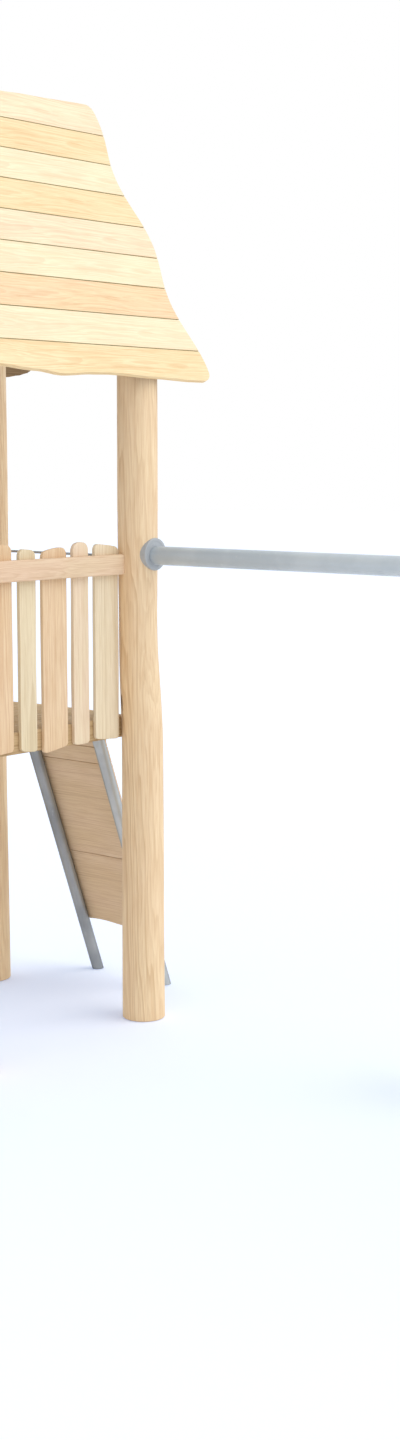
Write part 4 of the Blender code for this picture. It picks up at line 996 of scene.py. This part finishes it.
PLATE_WOOD = (paint(206, 182, 146), paint(168, 138, 98), paint(212, 190, 156))
for name in ("front_wall_plate", "rear_wall_plate"):
    low, high = local_box(name)
    finish = wood_finish(name + "_wood", *PLATE_WOOD, (low + high) / 2 + Vector((0, 0.02, -0.02)), X)
    hand_over(name + "_timber", copy_of(name), finish, [name])
for side in ("right", "left"):
    name = "roof_truss_" + side
    low, high = local_box(name)
    for end, way in (("front", 1.0), ("rear", -1.0)):
        bm = sliced(copy_of(name), (0, BAY_Y / 2, 0), way * Y)
        pith = (low + high) / 2 + Vector((0.01, way * 0.03, 0.0))
        along = (0, way * math.cos(PITCH), math.sin(PITCH))
        finish = wood_finish(f"rafter_wood_{side}_{end}", *PLATE_WOOD, pith, along)
        hand_over(f"rafter_{side}_{end}", bm, finish, [name])

# %% [markdown]
# The far end of the beam stands on two leaning logs. A head plate with a welded collar is bolted
# across their flattened tops and a round brace ties them lower down.

# %% Far support
HEAD_PLATE_FRONT, HEAD_PLATE_THICK = -3.720, 0.010
LEG_TOP = BEAM_HEIGHT + 0.153
LEG_SPREAD, LEG_TOP_SPREAD = 0.800, 0.088
LEG_FOOT_RADIUS, LEG_TOP_RADIUS, LEG_FLAT = 0.085, 0.070, 0.016
BRACE_HEIGHT, BRACE_RADIUS = 0.700, 0.045
flat_y = HEAD_PLATE_FRONT - HEAD_PLATE_THICK - GAP
leg_y = flat_y - LEG_TOP_RADIUS + LEG_FLAT
for side, sign in (("right", 1.0), ("left", -1.0)):
    foot = Vector((sign * LEG_SPREAD, leg_y, 0.0))
    top = Vector((sign * LEG_TOP_SPREAD, leg_y, LEG_TOP))
    bm = log(foot, top, LEG_FOOT_RADIUS, LEG_TOP_RADIUS, (0.0, -0.010, 0.0), 1.2, 0.0016)
    finish = log_finish("leg_log_" + side, foot.x - 0.02, foot.y + 0.02, top - foot)
    hand_over("leg_log_" + side, sliced(bm, (0, flat_y, 0), Y), finish, ["leg_" + side])
reach = LEG_SPREAD - (LEG_SPREAD - LEG_TOP_SPREAD) * BRACE_HEIGHT / LEG_TOP - 0.05
bm = tube((-reach, leg_y, BRACE_HEIGHT), (reach, leg_y, BRACE_HEIGHT), BRACE_RADIUS, rim=0.004, cuts=19)
finish = wood_finish("brace_log", paint(228, 208, 170), paint(196, 166, 118), paint(236, 214, 172),
                     (0, leg_y + 0.01, BRACE_HEIGHT - 0.01), X, ring=0.006, wander=0.02)
hand_over("brace_log", bm, finish, ["leg_brace"])
steel("head_plate_steel", copy_of("head_plate", 0.0015), beam_paint, ["head_plate"])

# %% [markdown]
# The seat hangs on two chains. A link is a steel wire bent to an oval and welded, and each next
# link is turned by a quarter. One link is made as a ring that is pulled long, and copies of it
# are stacked. The chain's eyes turn on pins: the upper one in the hanger, the lower one on the
# seat.

# %% Chains
SEAT_MIDDLE = -1.860
CHAIN_OFFSET = 0.2228
PIVOT_Z = BEAM_HEIGHT - BEAM_RADIUS - 0.040
PIN_Z = 0.500
WIRE, LINK_WIDTH, LINK_PITCH = 0.0030, 0.0235, 0.040
LINK_START = 0.0115
EYE = ((-0.0052, 0.0066), (-0.0060, 0.0075), (-0.0060, 0.0150), (-0.0052, 0.0160),
       (0.0052, 0.0160), (0.0060, 0.0150), (0.0060, 0.0075), (0.0052, 0.0066))


def link(middle, length, turned_by):
    """A ring of wire round the Y axis, pulled long."""
    radius = LINK_WIDTH / 2 - WIRE
    bm = bmesh.new()
    made = bmesh.ops.create_circle(bm, cap_ends=False, radius=WIRE, segments=10)
    bmesh.ops.translate(bm, verts=made["verts"], vec=(radius, 0, 0))
    spun(bm, bm.verts[:] + bm.edges[:], Y, 24)
    stretch = length / 2 - WIRE - radius
    for v in bm.verts:
        v.co.z += math.copysign(stretch, v.co.z) if abs(v.co.z) > 1e-6 else 0.0
    return placed(bm, Matrix.Translation(middle) @ Matrix.Rotation(turned_by, 4, "Z"))


def eye_ring(middle):
    """The chain's end, turned from a closed profile of (place along the pin, radius)."""
    bm = bmesh.new()
    points = [bm.verts.new((radius, along, 0.0)) for along, radius in EYE]
    lines = [bm.edges.new(pair) for pair in zip(points, points[1:] + points[:1])]
    spun(bm, points + lines, Y, 32)
    bmesh.ops.translate(bm, verts=bm.verts, vec=middle)
    return bm


def chain(y):
    low, high = PIN_Z + LINK_START, PIVOT_Z - LINK_START
    count = 2 * round(((high - low) / LINK_PITCH - 1) / 2) + 1
    pitch = (high - low) / count
    bm = bmesh.new()
    for k in range(count):
        middle = (0.0, y, low + (k + 0.5) * pitch)
        add_to(bm, link(middle, pitch + 2 * WIRE, math.pi / 2 if k % 2 else 0.0))
    for z in (PIN_Z, PIVOT_Z):
        add_to(bm, eye_ring((0, y, z)))
    return bm


for name, sign in (("near", 1.0), ("far", -1.0)):
    bm = chain(SEAT_MIDDLE + sign * CHAIN_OFFSET)
    steel(f"links_{name}", bm, zinc, [f"chain_{name}"], "swing")
    steel(f"hanger_steel_{name}", copy_of(f"hanger_{name}", 0.0012), zinc, [f"hanger_{name}"])
    bracket = f"seat_bracket_{name}"
    steel(f"bracket_steel_{name}", copy_of(bracket, 0.0008), zinc, [bracket], "seat")

# %% [markdown]
# The seat is a thick rubber plank with rounded edges. Low ribs along its top keep a child in wet
# clothes from sliding off: each is a thin round bar, sunk in until only its back stands out.

# %% Seat
RIB_RADIUS, RIB_SINK, RIB_END, RIB_SPACING = 0.0040, 0.0026, 0.020, 0.020
seat_low, seat_high = local_box("swing_seat")
bm = sawn(seat_low, seat_high, 0.011, 0.0, 1)
rib_z = seat_high.z - RIB_SINK
for k in range(-3, 4):
    across = RIB_SPACING * k
    add_to(bm, tube((across, seat_low.y + RIB_END, rib_z), (across, seat_high.y - RIB_END, rib_z),
                    RIB_RADIUS, 16))
hand_over("seat_pad", bm, rubber, ["swing_seat"], "seat")

# %% [markdown]
# The slide is one folded sheet of stainless steel. Its path is flat at the deck, falls at 37
# degrees and runs out flat near the ground. Across, the sheet rises in a small curve to each
# cheek and is rolled outwards at the top, so that no edge can cut. A flat grid takes that shape
# point by point, one way across and the other way along, and is then thickened.

# %% Slide
BED_HALF, CHEEK, SHEET = 0.225, 0.170, 0.004
FOLD, ROLL = 0.020, 0.0145
FALL = math.radians(37.0)
ENTRY, TOP_BEND, LOW_BEND, EXIT = 0.300, 0.4, 0.8, 0.450
ENTRY_HEIGHT, EXIT_HEIGHT = 1.497, 0.3
FLANGE_DROP, FLANGE_BELOW = 0.095, 0.002
END_BAR, END_BAR_DROP = 0.011, 0.0125
SLIDE_MIDDLE = BAY_Y / 2


def slide_path():
    """Its points along the slide, as (x, z, slope)."""
    x, z = -BAY_X - JOIST_FACE, ENTRY_HEIGHT
    turns = [FALL * k / 15 for k in range(16)]
    path = [(x, z, 0.0)]
    x -= ENTRY
    path += [(x - TOP_BEND * math.sin(a), z - TOP_BEND * (1 - math.cos(a)), a) for a in turns]
    x, z = path[-1][:2]
    drop = z - EXIT_HEIGHT - LOW_BEND * (1 - math.cos(FALL))
    x -= drop / math.tan(FALL) + LOW_BEND * math.sin(FALL)
    path += [(x + LOW_BEND * math.sin(a), EXIT_HEIGHT + LOW_BEND * (1 - math.cos(a)), a)
             for a in reversed(turns)]
    return path + [(x - EXIT, EXIT_HEIGHT, 0.0)]


def half_section():
    """The inner face from the middle of the bed to the end of the rolled lip."""
    points = [(0.0, 0.0)]
    for k in range(7):
        a = math.pi / 2 * k / 6
        points.append((BED_HALF - FOLD + FOLD * math.sin(a), FOLD - FOLD * math.cos(a)))
    for k in range(15):
        a = math.pi - (math.pi + 1.9) * k / 14
        points.append((BED_HALF + ROLL + ROLL * math.cos(a), CHEEK - ROLL + ROLL * math.sin(a)))
    return points


path = slide_path()
half = half_section()
section = [(-across, rise) for across, rise in reversed(half[1:])] + half


def slide_point(s, t):
    across, rise = section[round(s * (len(section) - 1))]
    x, z, fall = path[round(t * (len(path) - 1))]
    return x - rise * math.sin(fall), SLIDE_MIDDLE + across, z + rise * math.cos(fall)


bm = grid(len(section) - 1, len(path) - 1, slide_point)
bmesh.ops.recalc_face_normals(bm, faces=bm.faces)
bed = min(bm.faces, key=lambda f: abs(f.calc_center_median().y - SLIDE_MIDDLE))
if bed.normal.z < 0:
    bmesh.ops.reverse_faces(bm, faces=bm.faces)
thickened(bm, SHEET)
top_x, top_z = path[0][:2]
end_x, end_z = path[-1][:2]
near, far = SLIDE_MIDDLE - BED_HALF, SLIDE_MIDDLE + BED_HALF
add_to(bm, sawn(Vector((top_x - SHEET, near, top_z - FLANGE_DROP)),
                Vector((top_x, far, top_z - FLANGE_BELOW)), 0.0012, 0.0, 1))
bar_x, bar_z = end_x + END_BAR, end_z - END_BAR_DROP
add_to(bm, tube((bar_x, near, bar_z), (bar_x, far, bar_z), END_BAR, 32))
hand_over("slide_sheet", bm, stainless, ["slide_chute"])

# %% [markdown]
# Under its lower end the slide stands on a bent tube. A grid is rolled round the tube's path and
# its seam is closed. Each foot ends in a round plate that stands on the ground.

# %% The slide's foot
FOOT_RADIUS, FOOT_BEND, FOOT_HALF, FOOT_FROM_END = 0.024, 0.07, 0.190, 0.200
FOOT_DISC = ((0.0, 0.050), (0.005, 0.050), (0.006, 0.049), (0.006, 0.028), (0.010, 0.0245))


def pipe(path, side, radius):
    """A bent round bar along a path in one plane, whose normal is side."""
    path = [Vector(place) for place in path]
    last = len(path) - 1

    def place(s, t):
        turn, k = math.tau * s, round(t * last)
        ahead = (path[min(k + 1, last)] - path[max(k - 1, 0)]).normalized()
        return path[k] + radius * (side * math.cos(turn) + side.cross(ahead) * math.sin(turn))

    bm = grid(32, last, place)
    bmesh.ops.remove_doubles(bm, verts=bm.verts, dist=1e-5)
    return closed(bm)


foot_x, foot_top = end_x + FOOT_FROM_END, end_z - SHEET - GAP - FOOT_RADIUS
left = [(foot_x, SLIDE_MIDDLE - FOOT_HALF + FOOT_BEND * (1 - math.cos(a)),
         foot_top - FOOT_BEND + FOOT_BEND * math.sin(a))
        for a in (math.pi / 2 * k / 10 for k in range(11))]
right = [(foot_x, 2 * SLIDE_MIDDLE - y, z) for x, y, z in reversed(left)]
ends = [(foot_x, SLIDE_MIDDLE + side * FOOT_HALF, 0.0) for side in (-1.0, 1.0)]
bm = pipe([ends[0], *left, *right, ends[1]], X, FOOT_RADIUS)
for end in ends:
    add_to(bm, turned(FOOT_DISC, end, Vector(end) + Z, 40))
steel("slide_leg", bm, tube_paint, ["slide_foot"])

# %% [markdown]
# Screws and bolts hold it all together. A head is turned on a lathe, low and domed, and its foot
# is sunk a little into the wood or steel. Screws go through the deck boards into the joists,
# through the wall's boards into its tubes and through the rungs; bolts hold the head plate, the
# slide's flange, the pins and the seat's brackets.

# %% Screws and bolts
def head(place, out, radius, rise):
    profile = ((-0.001, radius), (0.35 * rise, radius), (0.75 * rise, 0.8 * radius),
               (rise, 0.4 * radius))
    return turned(profile, place, Vector(place) + Vector(out), 16)


def heads(name, places, out, radius, rise, nodes, body="play_set"):
    bm = bmesh.new()
    for place in places:
        add_to(bm, head(place, out, radius, rise))
    hand_over(name, bm, zinc, nodes, body)


SUNK = 0.0006
places = []
for node in DECK_BOARDS:
    low, high = local_box(node)
    places += [(x, y, high.z - SUNK) for x in (low.x + 0.030, high.x - 0.030)
               for y in (low.y + 0.045, high.y - 0.045)]
heads("deck_screws", places, Z, 0.0048, 0.0012, DECK_BOARDS)

outer = TUBE_RADIUS + GAP + WALL_THICK - SUNK
places = [climb_place @ Vector((y, v_place, outer)) for y in (0.345, 0.745)
          for v_place in (0.345, 0.5, 0.66, 0.79, 0.95, 1.12, 1.225, 1.33, 1.48)]
heads("wall_screws", places, climb_out, 0.0055, 0.0030,
      [f"climb_board_{name}" for name in ("lower", "middle", "upper")])
places = [climb_place @ Vector((y, v_place, face + RUNG_TOP)) for y in (0.365, 0.545, 0.725)
          for v_place in RUNG_PLACES]
heads("rung_screws", places, climb_out, 0.0055, 0.0022, [f"climb_rung_{k + 1}" for k in range(4)])

corners = ((-0.140, -0.110), (0.140, -0.110), (-0.098, 0.082), (0.098, 0.082))
places = [(x, HEAD_PLATE_FRONT, BEAM_HEIGHT + z) for x, z in corners]
heads("head_plate_bolts", places, Y, 0.011, 0.0070, ["head_plate"])
places = [(top_x - SHEET, SLIDE_MIDDLE + y, top_z - 0.055) for y in (-0.17, -0.06, 0.06, 0.17)]
heads("slide_bolts", places, -X, 0.0075, 0.0045, ["slide_chute"])
HANGER_FACE = 0.0155
BRACKET_FACE, BRACKET_BOLT_HEIGHT = 0.2153, 0.436
for name, sign in (("near", 1.0), ("far", -1.0)):
    y = SEAT_MIDDLE + sign * CHAIN_OFFSET
    bm = head((0.0, y + HANGER_FACE, PIVOT_Z), Y, 0.0100, 0.0045)
    add_to(bm, head((0.0, y - HANGER_FACE, PIVOT_Z), -Y, 0.0100, 0.0045))
    steel(f"hanger_pin_{name}", bm, zinc, [f"hanger_{name}"])
    places = [(x, SEAT_MIDDLE + sign * BRACKET_FACE, BRACKET_BOLT_HEIGHT) for x in (-0.038, 0.038)]
    heads(f"bracket_bolts_{name}", places, sign * Y, 0.0065, 0.0030, [f"seat_bracket_{name}"],
          body="seat")

# %% [markdown]
# The last cell measures the dressed part and prints how far it reaches.

# %% Sizes, and the end
low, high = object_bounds()
print("visual from", tuple(low), "to", tuple(high))
